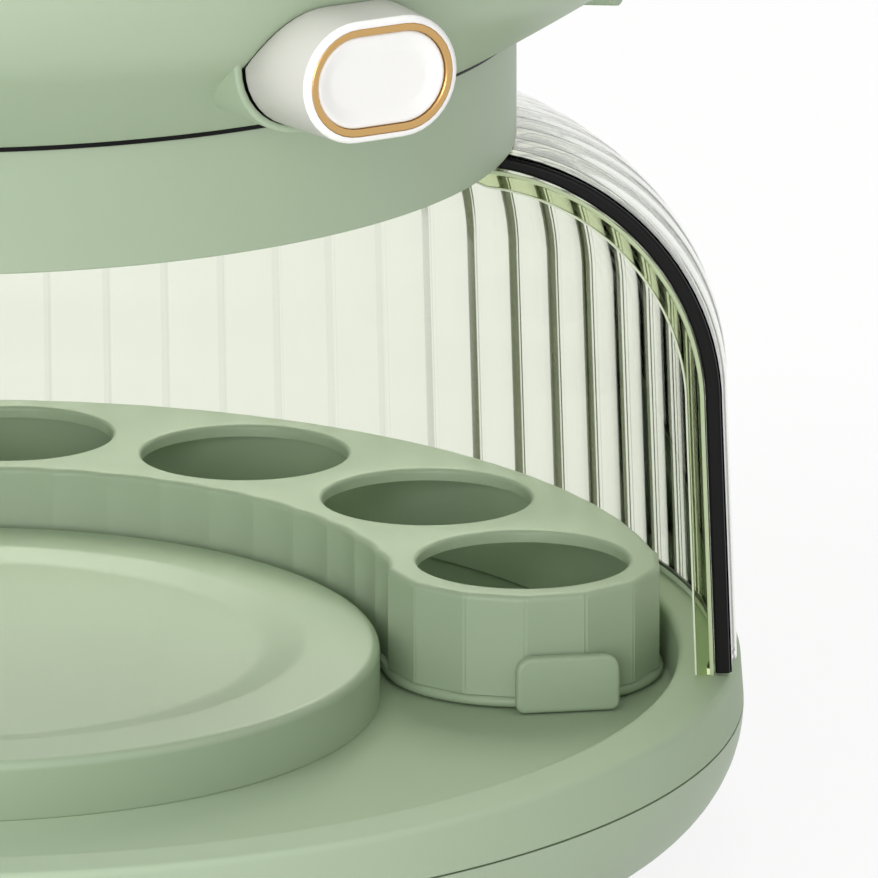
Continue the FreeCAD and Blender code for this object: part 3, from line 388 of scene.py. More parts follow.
def softSection(corners, arcSteps=5):
    # corners in millimetres as (radius, height) or (radius, height, rounding)
    points = []
    for index, corner in enumerate(corners):
        spot = Vector(corner[:2])
        rounding = corner[2] if len(corner) > 2 else 0.0
        if rounding == 0:
            points.append(spot)
            continue
        before = Vector(corners[index - 1][:2]) - spot
        after = Vector(corners[(index + 1) % len(corners)][:2]) - spot
        room = softening["room"] * min(before.length, after.length)
        before.normalize()
        after.normalize()
        half = before.angle(after) / 2
        reach = min(rounding / math.tan(half), room)
        middle = spot + (before + after).normalized() * (reach / math.cos(half))
        first = spot + before * reach - middle
        last = spot + after * reach - middle
        swing = math.atan2(first.cross(last), first.dot(last))
        hold = min(softening["hold"], room - reach)
        if hold > softening["leastHold"]:
            points.append(spot + before * (reach + hold))
        for step in range(arcSteps + 1):
            angle = swing * step / arcSteps
            turned = Vector((first.x * math.cos(angle) - first.y * math.sin(angle),
                             first.x * math.sin(angle) + first.y * math.cos(angle)))
            points.append(middle + turned)
        if hold > softening["leastHold"]:
            points.append(spot + after * (reach + hold))
    return points


def arcPoints(centre, radius, start, end, count):
    # points on an arc, angles in degrees from the outward direction
    angles = [math.radians(start + (end - start) * step / count) for step in range(count + 1)]
    return [(centre[0] + radius * math.cos(angle), centre[1] + radius * math.sin(angle)) for angle in angles]


def sectionMesh(name, points, closed, fluteDepths):
    mesh = bpy.data.meshes.new(name)
    edges = [(index, index + 1) for index in range(len(points) - 1)]
    if closed:
        edges.append((len(points) - 1, 0))
    mesh.from_pydata([(point[0] * mm, point[1] * mm, 0) for point in points], edges, [])
    marks = mesh.attributes.new("flute", "FLOAT", "POINT")
    for mark, depth in zip(marks.data, fluteDepths):
        mark.value = depth
    return mesh


def setInputs(modifier, values):
    for item in modifier.node_group.interface.items_tree:
        if item.item_type == "SOCKET" and item.in_out == "INPUT" and item.name in values:
            modifier[item.identifier] = values[item.name]


def tidyMesh(mesh, sharpAngle):
    work = bmesh.new()
    work.from_mesh(mesh)
    bmesh.ops.remove_doubles(work, verts=work.verts, dist=weldReach)
    bmesh.ops.recalc_face_normals(work, faces=work.faces)
    work.to_mesh(mesh)
    work.free()
    mesh.shade_smooth()
    mesh.set_sharp_from_angle(angle=math.radians(sharpAngle))


def turnedMesh(name, points, material, closed=True, sharpAngle=32.0, fluteDepths=(), **inputs):
    mesh = sectionMesh(name, points, closed, fluteDepths)
    maker = bpy.data.objects.new(name, mesh)
    scene.collection.objects.link(maker)
    modifier = maker.modifiers.new("turning", "NODES")
    modifier.node_group = turning
    values = {"Steps": 241, "Caps": False, "Material": material}
    values.update(inputs)
    setInputs(modifier, values)
    bpy.context.view_layer.update()
    result = bpy.data.meshes.new_from_object(maker.evaluated_get(bpy.context.evaluated_depsgraph_get()))
    bpy.data.objects.remove(maker)
    bpy.data.meshes.remove(mesh)
    result.name = name
    marks = result.attributes.get("flute")
    if marks is not None:
        result.attributes.remove(marks)
    tidyMesh(result, sharpAngle)
    return result


def seatPiece(name, mesh, body, slot, *replaced):
    piece = bpy.data.objects.new(name, mesh)
    scene.collection.objects.link(piece)
    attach(piece, body)
    if replaced:
        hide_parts(*replaced)


def turnPiece(name, corners, material, body, slot, *replaced, arcSteps=5, **inputs):
    mesh = turnedMesh(name, softSection(corners, arcSteps), material, **inputs)
    seatPiece(name, mesh, body, slot, *replaced)


# Base

deckSizes = {
    "corners": [
        (141.6, 23.82, 0.35), (140.9, 33.0, 1.3), (130.0, 33.0, 1.3), (129.5, 23.0, 0.9), (64.0, 23.0, 0.3),
        (64.0, 20.5), (132.0, 20.5), (132.5, 30.5), (136.6, 30.5), (136.6, 21.5), (138.6, 21.5),
        (138.6, 23.82), (139.1, 23.82),
    ],
}
turnPiece("baseDeckTurned", deckSizes["corners"], sageDeck, "base", "sage_green", "base_deck")

plateSizes = {
    "corners": [
        (0.0, 29.3), (73.0, 29.3), (73.0, 24.2), (75.4, 24.2), (75.4, 23.0), (77.0, 23.0, 0.2),
        (77.0, 33.5, 1.6), (63.4, 33.5, 9.0), (56.5, 32.3, 14.0), (0.0, 32.3),
    ],
}
turnPiece("heatingPlateTurned", plateSizes["corners"], sagePlate, "base", "coated_plate", "heating_plate",
          arcSteps=7, closed=False)
print("base turned")


# Collar and bowl

collarSizes = {
    "corners": [
        (101.1, 126.5, 0.4), (101.1, 148.0, 0.3), (100.0, 148.0), (100.0, 147.7), (90.8, 147.7),
        (90.8, 130.7), (93.0, 130.7), (93.0, 142.7), (99.6, 142.7), (99.6, 128.5), (98.5, 128.5),
        (98.5, 126.5, 0.3),
    ],
}
turnPiece("collarRingTurned", collarSizes["corners"], sageGreen, "hood", "sage_green", "collar_ring")

gasketSizes = {
    "corners": [
        (95.9, 147.75), (99.9, 147.75), (99.9, 148.05), (102.3, 148.05, 0.12), (102.3, 149.05, 0.12),
        (95.9, 149.05),
    ],
}
turnPiece("collarGasketTurned", gasketSizes["corners"], blackRubberAndRootShade, "hood", "black_rubber", "collar_gasket")

bowlSizes = {
    "baseRadius": 103.2, "baseZ": 149.1, "baseRound": 0.45,
    "bellyRadius": 130.3, "bellyZ": 166.3, "bellyRound": 460.0, "bellySteps": 20,
    "radius": 140.0, "wallZ": 185.1, "shoulderSteps": 14, "rimZ": 209.7, "rimRound": 0.8, "wall": 2.5,
    "spigotRadius": 90.0, "spigotWall": 2.0, "spigotDrop": 4.0, "spigotRound": 0.3, "floorEdge": 84.0,
    "holeRadius": 4.0, "holeSoft": 0.35, "holeFacets": 28, "holeRings": ((0.0, 1), (30.0, 6), (62.0, 12)),
}


def arcCentre(start, end, radius):
    # centre of an arc that bulges to the right of the way from start to end
    start, end = Vector(start), Vector(end)
    along = end - start
    across = Vector((along.y, -along.x)).normalized()
    return (start + end) / 2 - across * math.sqrt(radius * radius - along.length_squared / 4)


def addArcs(setup):
    base, belly = (setup["baseRadius"], setup["baseZ"]), (setup["bellyRadius"], setup["bellyZ"])
    setup["bellyCentre"] = arcCentre(base, belly, setup["bellyRound"])
    run, rise = setup["radius"] - belly[0], setup["wallZ"] - belly[1]
    setup["shoulderRound"] = (run ** 2 + rise ** 2) / (2 * run)
    setup["shoulderCentre"] = Vector((setup["radius"] - setup["shoulderRound"], setup["wallZ"]))


addArcs(bowlSizes)


def bellyReach(z):
    # outer radius of the bowl at a height
    if z >= bowlSizes["wallZ"]:
        return bowlSizes["radius"]
    if z >= bowlSizes["bellyZ"]:
        centre, radius = bowlSizes["shoulderCentre"], bowlSizes["shoulderRound"]
    else:
        centre, radius = bowlSizes["bellyCentre"], bowlSizes["bellyRound"]
    return centre.x + math.sqrt(radius ** 2 - (z - centre.y) ** 2)


def bowlSection(setup):
    # from the floor's underside round the outside and back to the floor's top
    belly, bellyRound, bellySteps = setup["bellyCentre"], setup["bellyRound"], setup["bellySteps"]
    shoulder, shoulderRound = setup["shoulderCentre"], setup["shoulderRound"]
    shoulderSteps = setup["shoulderSteps"]
    wall, baseZ, radius, rimZ = setup["wall"], setup["baseZ"], setup["radius"], setup["rimZ"]

    def angleFrom(centre, spot):
        return math.degrees(math.atan2(spot[1] - centre.y, spot[0] - centre.x))

    bellyStart = angleFrom(belly, (setup["baseRadius"], baseZ))
    bellyEnd = angleFrom(belly, (setup["bellyRadius"], setup["bellyZ"]))
    shoulderStart = angleFrom(shoulder, (setup["bellyRadius"], setup["bellyZ"]))
    insideFloor = baseZ + wall
    drop = belly.y - insideFloor
    floorTurn = math.degrees(math.atan2(-drop, math.sqrt((bellyRound - wall) ** 2 - drop ** 2)))
    spigot, spigotLow = setup["spigotRadius"], baseZ - setup["spigotDrop"]
    spigotInside, soft = spigot - setup["spigotWall"], setup["spigotRound"]
    corners = [(setup["floorEdge"], baseZ), (spigotInside, baseZ), (spigotInside, spigotLow, soft),
               (spigot, spigotLow, soft), (spigot, baseZ), (setup["baseRadius"], baseZ, setup["baseRound"])]
    corners += arcPoints(belly, bellyRound, bellyStart, bellyEnd, bellySteps)[1:]
    corners += arcPoints(shoulder, shoulderRound, shoulderStart, 0, shoulderSteps)[1:]
    corners += [(radius, rimZ, setup["rimRound"]), (radius - wall, rimZ, setup["rimRound"])]
    corners += arcPoints(shoulder, shoulderRound - wall, 0, shoulderStart, shoulderSteps)
    corners += arcPoints(belly, bellyRound - wall, bellyEnd, floorTurn, bellySteps)[1:]
    corners += [(setup["floorEdge"], insideFloor)]
    return softSection(corners)


def ringLoop(work, x, y, z, radius, count):
    verts = []
    for step in range(count):
        angle = math.tau * step / count
        verts.append(work.verts.new((x + radius * math.cos(angle), y + radius * math.sin(angle), z)))
    return verts


def loopEdges(work, verts):
    pairs = zip(verts, verts[1:] + verts[:1])
    return [work.edges.get(pair) or work.edges.new(pair) for pair in pairs]


def bridge(work, lower, upper, finish=0):
    for index in range(len(lower)):
        follow = (index + 1) % len(lower)
        face = work.faces.new((lower[index], lower[follow], upper[follow], upper[index]))
        face.material_index = finish


def bridgeAll(work, loops):
    for lower, upper in zip(loops, loops[1:]):
        bridge(work, lower, upper)


def holeSpots(rings):
    spots = []
    for circle, count in rings:
        for step in range(count):
            angle = math.tau * step / count
            spots.append((circle * math.cos(angle), circle * math.sin(angle)))
    return spots


def perforateFloor(mesh, setup):
    # the floor between the two open edges, with its steam holes
    work = bmesh.new()
    work.from_mesh(mesh)
    fills = {}
    for edge in work.edges:
        if edge.is_boundary:
            fills.setdefault(round(edge.verts[0].co.z, 5), []).append(edge)
    under, top = sorted(fills)
    radius, soft, facets = setup["holeRadius"], setup["holeSoft"], setup["holeFacets"]
    for x, y in holeSpots(setup["holeRings"]):
        loops = [ringLoop(work, x * mm, y * mm, level, reach * mm, facets)
                 for level, reach in ((under, radius), (top - soft * mm, radius), (top, radius + soft))]
        bridgeAll(work, loops)
        fills[under] += loopEdges(work, loops[0])
        fills[top] += loopEdges(work, loops[-1])
    for level in (under, top):
        bmesh.ops.triangle_fill(work, use_beauty=True, use_dissolve=False, edges=fills[level])
    work.to_mesh(mesh)
    work.free()
    tidyMesh(mesh, 32.0)


bowlMesh = turnedMesh("steamBowlTurned", bowlSection(bowlSizes), sageGreen, closed=False)
perforateFloor(bowlMesh, bowlSizes)
seatPiece("steamBowlTurned", bowlMesh, "bowl", "sage_green", "steam_bowl")
print("collar and bowl turned")


# Handles: capsule sections lofted outwards from the bowl

handleSizes = {
    "turns": {"front": -54.0, "rear": 126.0},
    "level": 167.0, "halfWidth": 14.9, "halfHeight": 10.4, "root": 120.2, "reach": 150.0, "draft": 0.6,
    "rootGap": 0.3, "edgeRound": 1.15, "edgeLead": 0.4, "edgeOffset": 0.04, "seatDepth": 2.5,
    "foot": ((0.2, -0.3), (0.5, -0.1), (0.8, 0.0)),       # distance past the boss, and offset from the draft
    "footLifts": (-0.8, 0.25, 0.5, 0.8), "lift": 1.0,     # least distance from the bowl's skin, row by row
    "ringInset": 1.2, "ringWidth": 1.27, "ringDepth": 1.0, "ringFit": 0.03, "ringProud": 0.05,
    "ringSoft": 0.18,
    "capInset": 2.55, "capRecess": 0.3, "capDepth": 5.0, "capLead": 0.6, "capRound": 0.5, "capSteps": 5,
    "dish": ((0.0, 0.7), (0.12, 1.1), (0.42, 1.9), (0.72, 2.7), (0.82, 3.2), (0.84, 3.6)),   # depth and inset
    "bossReach": 130.8, "bossWall": 1.5, "bossFit": 0.1, "bossRound": 0.6, "bossLead": 0.3, "bossSink": 1.2,
    "bossBack": 15.0, "bossFloor": 1.5,
    "bossLip": ((0.0, 0.4), (0.2, 0.1), (0.6, 0.0)),      # depth, and offset from the fit
}


def capsuleRing(halfWidth, halfHeight, offset, arcCount=18, flatCount=5):
    straight = halfWidth - halfHeight
    radius = halfHeight + offset
    ring = []
    for side, start in ((1, -90), (-1, 90)):
        for step in range(arcCount + 1):
            angle = math.radians(start + 180 * step / arcCount)
            ring.append((side * straight + radius * math.cos(angle), radius * math.sin(angle)))
        for step in range(1, flatCount):
            ring.append((side * straight * (1 - 2 * step / flatCount), side * radius))
    return ring


def loft(name, rows, materials, closedRows=False, sharpAngle=35.0, bandFinish=()):
    # rows of equal length; open lofts get a flat face at each end
    work = bmesh.new()
    loops = [[work.verts.new(spot) for spot in row] for row in rows]
    for band, (lower, upper) in enumerate(zip(loops, loops[1:])):
        bridge(work, lower, upper, bandFinish[band] if band < len(bandFinish) else 0)
    if closedRows:
        bridge(work, loops[-1], loops[0])
    else:
        work.faces.new(loops[0][::-1])
        work.faces.new(loops[-1])
    mesh = bpy.data.meshes.new(name)
    work.to_mesh(mesh)
    work.free()
    for material in materials:
        mesh.materials.append(material)
    tidyMesh(mesh, sharpAngle)
    return mesh


def loftPiece(name, rows, materials, body, slot, *replaced, **options):
    seatPiece(name, loft(name, rows, materials, **options), body, slot, *replaced)


def handleSpot(turn, x, across, up):
    angle = math.radians(turn)
    return ((x * math.cos(angle) - across * math.sin(angle)) * mm,
            (x * math.sin(angle) + across * math.cos(angle)) * mm,
            (handleSizes["level"] + up) * mm)


def skinReach(across, up):
    # where a line along the handle leaves the bowl's outer face
    reach = bellyReach(handleSizes["level"] + up)
    return math.sqrt(reach ** 2 - across ** 2)


def handleRows(turn, steps, lifts=None):
    # steps are (distance out, offset of the outline); lifts are least distances from the bowl's skin
    rows = []
    for order, (x, offset) in enumerate(steps):
        row = []
        for across, up in capsuleRing(handleSizes["halfWidth"], handleSizes["halfHeight"], offset):
            out = max(x, skinReach(across, up) + lifts[order]) if lifts else x
            row.append(handleSpot(turn, out, across, up))
        rows.append(row)
    return rows


def roundSteps(x, offset, rounding, count=6):
    # quarter round from the side to the end face
    steps = []
    for step in range(count + 1):
        angle = math.radians(90 * step / count)
        steps.append((x - rounding + rounding * math.sin(angle),
                      offset - rounding + rounding * math.cos(angle)))
    return steps


def makeHandle(side, turn, setup):
    root, reach, mouth, draft = setup["root"], setup["reach"], setup["bossReach"], setup["draft"]
    sleeve = [(root, draft - setup["rootGap"])]
    sleeve += [(mouth + out, draft + offset) for out, offset in setup["foot"]]
    sleeve += [(reach - setup["edgeRound"] - setup["edgeLead"], setup["edgeOffset"])]
    sleeve += roundSteps(reach, 0.0, setup["edgeRound"])
    seats = (0.0, setup["ringDepth"], setup["seatDepth"])
    sleeve += [(reach - depth, -setup["ringInset"]) for depth in seats]
    lifts = setup["footLifts"] + (setup["lift"],) * len(sleeve)
    # the sleeve's sides wear painted shade in grey and its root a black band of painted shade; the rest of
    # its rounding and its end stay white
    loftPiece("handleSleeve_" + side, handleRows(turn, sleeve, lifts), [softWhite, sleevePaintedShade, blackRubberAndRootShade],
              "bowl", "white", "handle_sleeve_" + side, bandFinish=(2, 1, 1, 1, 1, 1))

    outer = -setup["ringInset"] - setup["ringFit"]
    inner = outer - setup["ringWidth"]
    low, top, soft = reach - setup["ringDepth"], reach + setup["ringProud"], setup["ringSoft"]
    ring = [(low, outer), (top - soft, outer), (top, outer - soft), (top, inner + soft), (top - soft, inner),
            (low, inner)]
    loftPiece("handleRing_" + side, handleRows(turn, ring), [satinGold], "bowl", "gold",
              "handle_ring_" + side, closedRows=True)

    edge = -setup["capInset"]
    face = reach - setup["capRecess"]
    cap = [(reach - setup["capDepth"], edge), (face - setup["capLead"], edge)]
    cap += roundSteps(face, edge, setup["capRound"], setup["capSteps"])
    cap += [(face - depth, edge - inset) for depth, inset in setup["dish"]]
    loftPiece("handleCap_" + side, handleRows(turn, cap), [softWhite], "bowl", "white", "handle_cap_" + side)

    wall, rounding = setup["bossWall"] + draft, setup["bossRound"]
    fit = setup["bossFit"] + draft
    boss = [(root - setup["bossBack"], wall), (mouth - rounding - setup["bossLead"], wall)]
    boss += roundSteps(mouth, wall, rounding)
    boss += [(mouth - depth, fit + offset) for depth, offset in setup["bossLip"]]
    boss += [(root + setup["bossFloor"], fit)]
    lifts = [-setup["bossSink"]] * len(boss)
    loftPiece("handleBoss_" + side, handleRows(turn, boss, lifts), [sageGreen], "bowl", "sage_green")


for side, turn in handleSizes["turns"].items():
    makeHandle(side, turn, handleSizes)
print("handles lofted")


# Side grips under the belly

gripSizes = {
    "reach": 121.2, "halfWidth": 20.0, "low": 156.1, "high": 161.0, "root": 104.0, "sink": 1.2,
    "round": 1.2, "corner": 2.2, "rootShares": (0.75, 0.5, 0.25, 0, -0.25, -0.5, -0.75),
}


def makeGrip(name, side, setup):
    half, reach, root = setup["halfWidth"], setup["reach"], setup["root"]
    corners = [(root, -half), (reach, -half, setup["corner"]), (reach, half, setup["corner"]), (root, half)]
    outline = softSection(corners, 6)
    outline += [(root, half * share) for share in setup["rootShares"]]
    rounding = setup["round"]
    levels = []
    for step in range(7):
        angle = math.radians(15 * step)
        levels.append((setup["low"] + rounding - rounding * math.cos(angle),
                       rounding - rounding * math.sin(angle)))
    levels.append((setup["high"], 0.0))
    rows = []
    for z, inset in levels:
        row = []
        for x, y in outline:
            y = max(min(y, half - inset), inset - half)
            skin = math.sqrt((bellyReach(z) - setup["sink"]) ** 2 - y ** 2)
            x = max(min(x, reach - inset), skin)
            row.append((side * x * mm, side * y * mm, z * mm))
        rows.append(row)
    loftPiece(name, rows, [sageGreen], "bowl", "sage_green")


makeGrip("sideGrip_right", 1, gripSizes)
makeGrip("sideGrip_left", -1, gripSizes)


# Lid with its knob

lidSizes = {
    "hole": 2.05, "topZ": 231.2, "wall": 2.5, "edgeRadius": 139.4, "edgeLow": 209.7, "edgeHigh": 212.2,
    "skirtOutside": 136.7, "skirtInside": 134.7, "skirtLow": 204.7, "skirtRound": 0.4, "lowRound": 0.6,
    "highRound": 1.0, "crownSteps": 30,
}


def crownPoints(reach, low, high, start, count):
    # a shallow crown from the edge up to the knob's hole
    rise = high - low
    radius = ((reach - start) ** 2 + rise ** 2) / (2 * rise)
    spots = []
    for step in range(count + 1):
        spot = reach + (start - reach) * step / count
        spots.append((spot, high - radius + math.sqrt(radius ** 2 - (spot - start) ** 2)))
    return spots


def lidCorners(setup):
    hole, steps = setup["hole"], setup["crownSteps"]
    corners = [
        (setup["skirtInside"], setup["skirtLow"], setup["skirtRound"]),
        (setup["skirtOutside"], setup["skirtLow"], setup["skirtRound"]),
        (setup["skirtOutside"], setup["edgeLow"]),
        (setup["edgeRadius"], setup["edgeLow"], setup["lowRound"]),
        (setup["edgeRadius"], setup["edgeHigh"], setup["highRound"]),
    ]
    corners += crownPoints(setup["edgeRadius"], setup["edgeHigh"], setup["topZ"], hole, steps)[1:]
    under = crownPoints(setup["skirtInside"], setup["edgeLow"], setup["topZ"] - setup["wall"], hole, steps)
    return corners + under[::-1]


turnPiece("bowlLidTurned", lidCorners(lidSizes), clearLid, "lid", "clear_green", "bowl_lid")

knobSizes = {
    "corners": [
        (2.05, 231.2), (8.0, 231.2, 0.4), (8.0, 240.2, 2.0), (17.0, 240.2, 1.6), (17.0, 250.2, 2.6),
        (14.0, 250.2, 0.15), (14.0, 249.2), (12.73, 249.2), (12.73, 250.2, 0.15), (0.0, 250.05),
        (0.0, 240.25), (2.05, 240.25),
    ],
    "ring": [(12.78, 249.2), (13.95, 249.2), (13.95, 250.25, 0.18), (12.78, 250.25, 0.18)],
    "steps": 97,
}
turnPiece("lidKnobTurned", knobSizes["corners"], softWhite, "lid", "white", "lid_knob",
          Steps=knobSizes["steps"])
turnPiece("knobRingTurned", knobSizes["ring"], satinGold, "lid", "gold", "knob_ring",
          Steps=knobSizes["steps"])
print("lid and knob turned")


# Clear shells, fluted on their outer faces

shellSizes = {
    "footRadius": 140.4, "wallRadius": 138.45, "wallTop": 81.5, "shoulder": 45.0, "neckRadius": 98.1,
    "neckTop": 142.3, "start": -3.8, "span": 187.6, "wallShares": (0, 0.01, 0.05, 0.3, 0.65), "arcSteps": 22,
    "fluteTop": 124.5, "fluteFade": 6.0, "lipWidth": 1.1, "lipLow": 128.9, "lipHigh": 130.9,
    "endMatch": 0.004,     # degrees within which a face counts as a shell's end
}
rearSizes = {"foot": 33.0, "wall": 0.7, "inset": 3.0, "trim": 0.0, "lip": False}
doorSizes = {"foot": 33.3, "wall": 2.0, "inset": 0.0, "trim": 0.6, "lip": True}


def shellSide(shell, offset, foot, shares, arcSteps):
    # one face of a shell, from its foot up to the neck
    centre = (shell["wallRadius"] - shell["shoulder"], shell["wallTop"])
    radius = shell["shoulder"] - offset
    end = math.degrees(math.acos((shell["neckRadius"] - offset - centre[0]) / radius))
    lean = shell["wallRadius"] - shell["footRadius"]
    wall = [(shell["footRadius"] - offset + lean * share, foot + (shell["wallTop"] - foot) * share)
            for share in shares]
    return wall + arcPoints(centre, radius, 0, end, arcSteps)


def shellSection(shell, setup):
    # also says how many of its points lie on the fluted face
    inset, wall = setup["inset"], setup["wall"]
    outer, inner = (shellSide(shell, offset, setup["foot"], shell["wallShares"], shell["arcSteps"])
                    for offset in (inset, inset + wall))
    outerCount = len(outer)
    neck = shell["neckRadius"] - inset
    if setup["lip"]:
        lip, low, high = neck + shell["lipWidth"], shell["lipLow"], shell["lipHigh"]
        outer += [(neck, low), (lip, low), (lip, high), (neck, high)]
    top = [(neck, shell["neckTop"]), (neck - wall, shell["neckTop"])]
    return outer + top + inner[::-1], outerCount


def makeShell(name, material, shell, setup, body, node):
    points, outerCount = shellSection(shell, setup)
    depths = [max(0.0, min(1.0, (shell["fluteTop"] - z) / shell["fluteFade"]))
              for x, z in points[:outerCount]]
    start, span = shell["start"] + setup["trim"], shell["span"] - 2 * setup["trim"]
    steps = round(span / math.degrees(flutes["pitch"]) * flutes["perFlute"]) + 1
    mesh = turnedMesh(name, points, material, sharpAngle=14.0, fluteDepths=depths, Start=math.radians(start),
                      Span=math.radians(span), Steps=steps, Caps=True, Relief=flutes["relief"],
                      Pitch=flutes["pitch"], First=flutes["first"])
    mesh.materials.append(shellEdge)
    for face in mesh.polygons:
        angle = math.degrees(math.atan2(face.center.y, face.center.x)) % 360
        angle = angle - 360 if angle > 270 else angle
        if min(abs(angle - start), abs(angle - start - span)) < shell["endMatch"]:
            face.material_index = 1
    seatPiece(name, mesh, body, "clear_green", node)


makeShell("rearDomeFluted", clearShell, shellSizes, rearSizes, "hood", "rear_dome")
makeShell("frontDoorFluted", clearDoor, shellSizes, doorSizes, "door", "front_door")
print("shells fluted")


# Edge strips: a soft black bead along each end of the door, a clear rim along each end of the rear dome with
# a painted highlight line along its inner edge

stripSizes = {
    "inset": 1.55, "halfWidth": 1.3, "halfDepth": 0.75, "round": 0.55, "footGap": 0.1,
    "neckHalfWidth": 1.0, "neckLow": 119.0, "neckHigh": 126.0,
    "pathShares": (0, 0.1, 0.4, 0.7), "pathSteps": 30, "pathNeck": (128.0, 135.0),
}
edgeSizes = {"depth": 0.35, "sink": 0.05, "round": 0.1, "flange": 3.0, "highlightReach": 3.35, "footGap": 0.05}


def shellPath(shell, strip, inset, foot):
    neck = shell["neckRadius"] - inset
    path = shellSide(shell, inset, foot, strip["pathShares"], strip["pathSteps"])
    return path + [(neck, z) for z in (*strip["pathNeck"], shell["neckTop"])]


def ribbon(name, path, turn, sectionAt, material):
    # a section swept up along a shell's end; across points outwards, deep runs round the axis
    angle = math.radians(turn)
    rows = []
    for index, (x, z) in enumerate(path):
        before = Vector(path[max(index - 1, 0)])
        after = Vector(path[min(index + 1, len(path) - 1)])
        along = (after - before).normalized()
        across = Vector((along.y, -along.x))
        row = []
        for wide, deep in sectionAt(z):
            spot = Vector((x, z)) + across * wide
            row.append(((spot.x * math.cos(angle) - deep * math.sin(angle)) * mm,
                        (spot.x * math.sin(angle) + deep * math.cos(angle)) * mm, spot.y * mm))
        rows.append(row)
    return loft(name, rows, [material])


def boxSection(low, high, near, far, rounding):
    corners = [(high, near, rounding), (high, far, rounding), (low, far, rounding), (low, near, rounding)]
    return softSection(corners, 4)


def beadSection(z):
    share = (z - stripSizes["neckLow"]) / (stripSizes["neckHigh"] - stripSizes["neckLow"])
    narrowing = (stripSizes["neckHalfWidth"] - stripSizes["halfWidth"]) * max(0.0, min(1.0, share))
    half = stripSizes["halfWidth"] + narrowing
    return boxSection(-half, half, -stripSizes["halfDepth"], stripSizes["halfDepth"], stripSizes["round"])


def makeEdges(label, turn, openSide, setup, rear):
    path = shellPath(shellSizes, stripSizes, rear["inset"], rear["foot"] + setup["footGap"])
    near, far = sorted((-openSide * setup["sink"], openSide * setup["depth"]))
    parts = (
        ("rearEnd_", -rear["wall"], 0.0, edgeGreen),
        ("rearRim_", -setup["flange"], -rear["wall"], edgeBand),
        ("rearPaintedHighlight_", -setup["highlightReach"], -setup["flange"], paintedEdgeHighlight),
    )
    for name, low, high, material in parts:
        section = boxSection(low, high, near, far, setup["round"])
        mesh = ribbon(name + label, path, turn, lambda z: section, material)
        seatPiece(name + label, mesh, "hood", "clear_green")


beadPath = shellPath(shellSizes, stripSizes, stripSizes["inset"], doorSizes["foot"] + stripSizes["footGap"])
shellEnds = {"right": (shellSizes["start"], -1), "left": (shellSizes["start"] + shellSizes["span"], 1)}
for label, (turn, openSide) in shellEnds.items():
    middle = turn - openSide * doorSizes["trim"] / 2
    bead = ribbon("doorStrip_" + label, beadPath, middle, beadSection, blackRubberAndRootShade)
    seatPiece("doorStrip_" + label, bead, "door", "black_rubber", "door_strip_" + label)
    makeEdges(label, turn, openSide, edgeSizes, rearSizes)

# painted highlight and painted shade along the rear dome's foot: a white line with a dark line above it
footLines = {
    "rearFootPaintedHighlight": ([(136.65, 33.06), (136.15, 33.06), (136.1, 34.2), (136.6, 34.2)], paintedFootHighlight),
    "rearFootPaintedShade": ([(136.6, 34.2), (136.15, 34.2), (136.12, 34.8), (136.57, 34.8)], paintedFootShade),
}
for name, (corners, material) in footLines.items():
    turnPiece(name, corners, material, "hood", "clear_green", Start=math.radians(shellSizes["start"]),
              Span=math.radians(shellSizes["span"]), Caps=True)
print("strips lofted")


# Egg tray

traySizes = {
    "ring": 103.9, "half": 24.3, "count": 7, "pitch": 25.26,
    "holeRadius": 19.0, "holeRound": 0.8, "holeFacets": 72,
    "low": 23.3, "top": 43.8, "topRound": 1.1, "topLead": 0.4, "skin": 2.2, "wall": 2.6,
    "bead": 0.9, "beadHeight": 1.9, "beadInside": 0.6,
    "beadLeads": ((0.05, 0.1), (0.0, 0.5)),       # offset, and height over the bead
    "outerFacets": 30, "lobeFacets": 7, "innerFacets": 20, "scallop": 0.5, "lobeShift": 4.0,
    "edgeShare": 0.032, "edgeSpread": 1.6, "edgeFall": 0.22,
}


def firstPlace(setup):
    # angle of the row's right end, degrees round from +X
    return 90 - setup["pitch"] * (setup["count"] - 1) / 2


def trayOutline(setup):
    # faceted and smooth outlines with matching points, and the outward direction at each
    first = firstPlace(setup)
    last = 180 - first
    ring, half = setup["ring"], setup["half"]
    lobes, shift = setup["lobeFacets"], setup["lobeShift"]
    trim = shift * half / (ring + half)     # the lobes' facets are turned, so the outer wall starts later

    def onRing(angle):
        return (ring * math.cos(math.radians(angle)), ring * math.sin(math.radians(angle)))

    # centre, radius, start, end, facets, way out, scallop
    runs = (
        ((0, 0), ring + half, first + trim, last - trim, setup["outerFacets"], 1, 0.0),
        (onRing(last), half, last - shift, last + 180 - shift, lobes, 1, 0.0),
        ((0, 0), ring - half, last, first, setup["innerFacets"], -1, setup["scallop"]),
        (onRing(first), half, first + 180 + shift, first + 360 + shift, lobes, 1, 0.0),
    )
    share = setup["edgeShare"]
    wide = share * setup["edgeSpread"]
    places = (share / 2, share, wide, 0.25, 0.5, 0.75, 1 - wide, 1 - share, 1 - share / 2)
    faceted, smooth, outward = [], [], []
    for (x, y), radius, start, end, count, sign, scallop in runs:
        step = (end - start) / count
        fall = (radius / math.cos(math.radians(step / 2)) - radius) * setup["edgeFall"]
        for facet in range(count):
            for place in places:
                angle = math.radians(start + step * (facet + place))
                if sign > 0:
                    flat = radius / math.cos(math.radians(step * (place - 0.5)))
                    if place < share or place > 1 - share:
                        flat -= fall
                else:
                    flat = radius + scallop * math.cos(math.pi * (place - 0.5))
                faceted.append((x + flat * math.cos(angle), y + flat * math.sin(angle)))
                smooth.append((x + radius * math.cos(angle), y + radius * math.sin(angle)))
                outward.append((sign * math.cos(angle), sign * math.sin(angle)))
    return faceted, smooth, outward


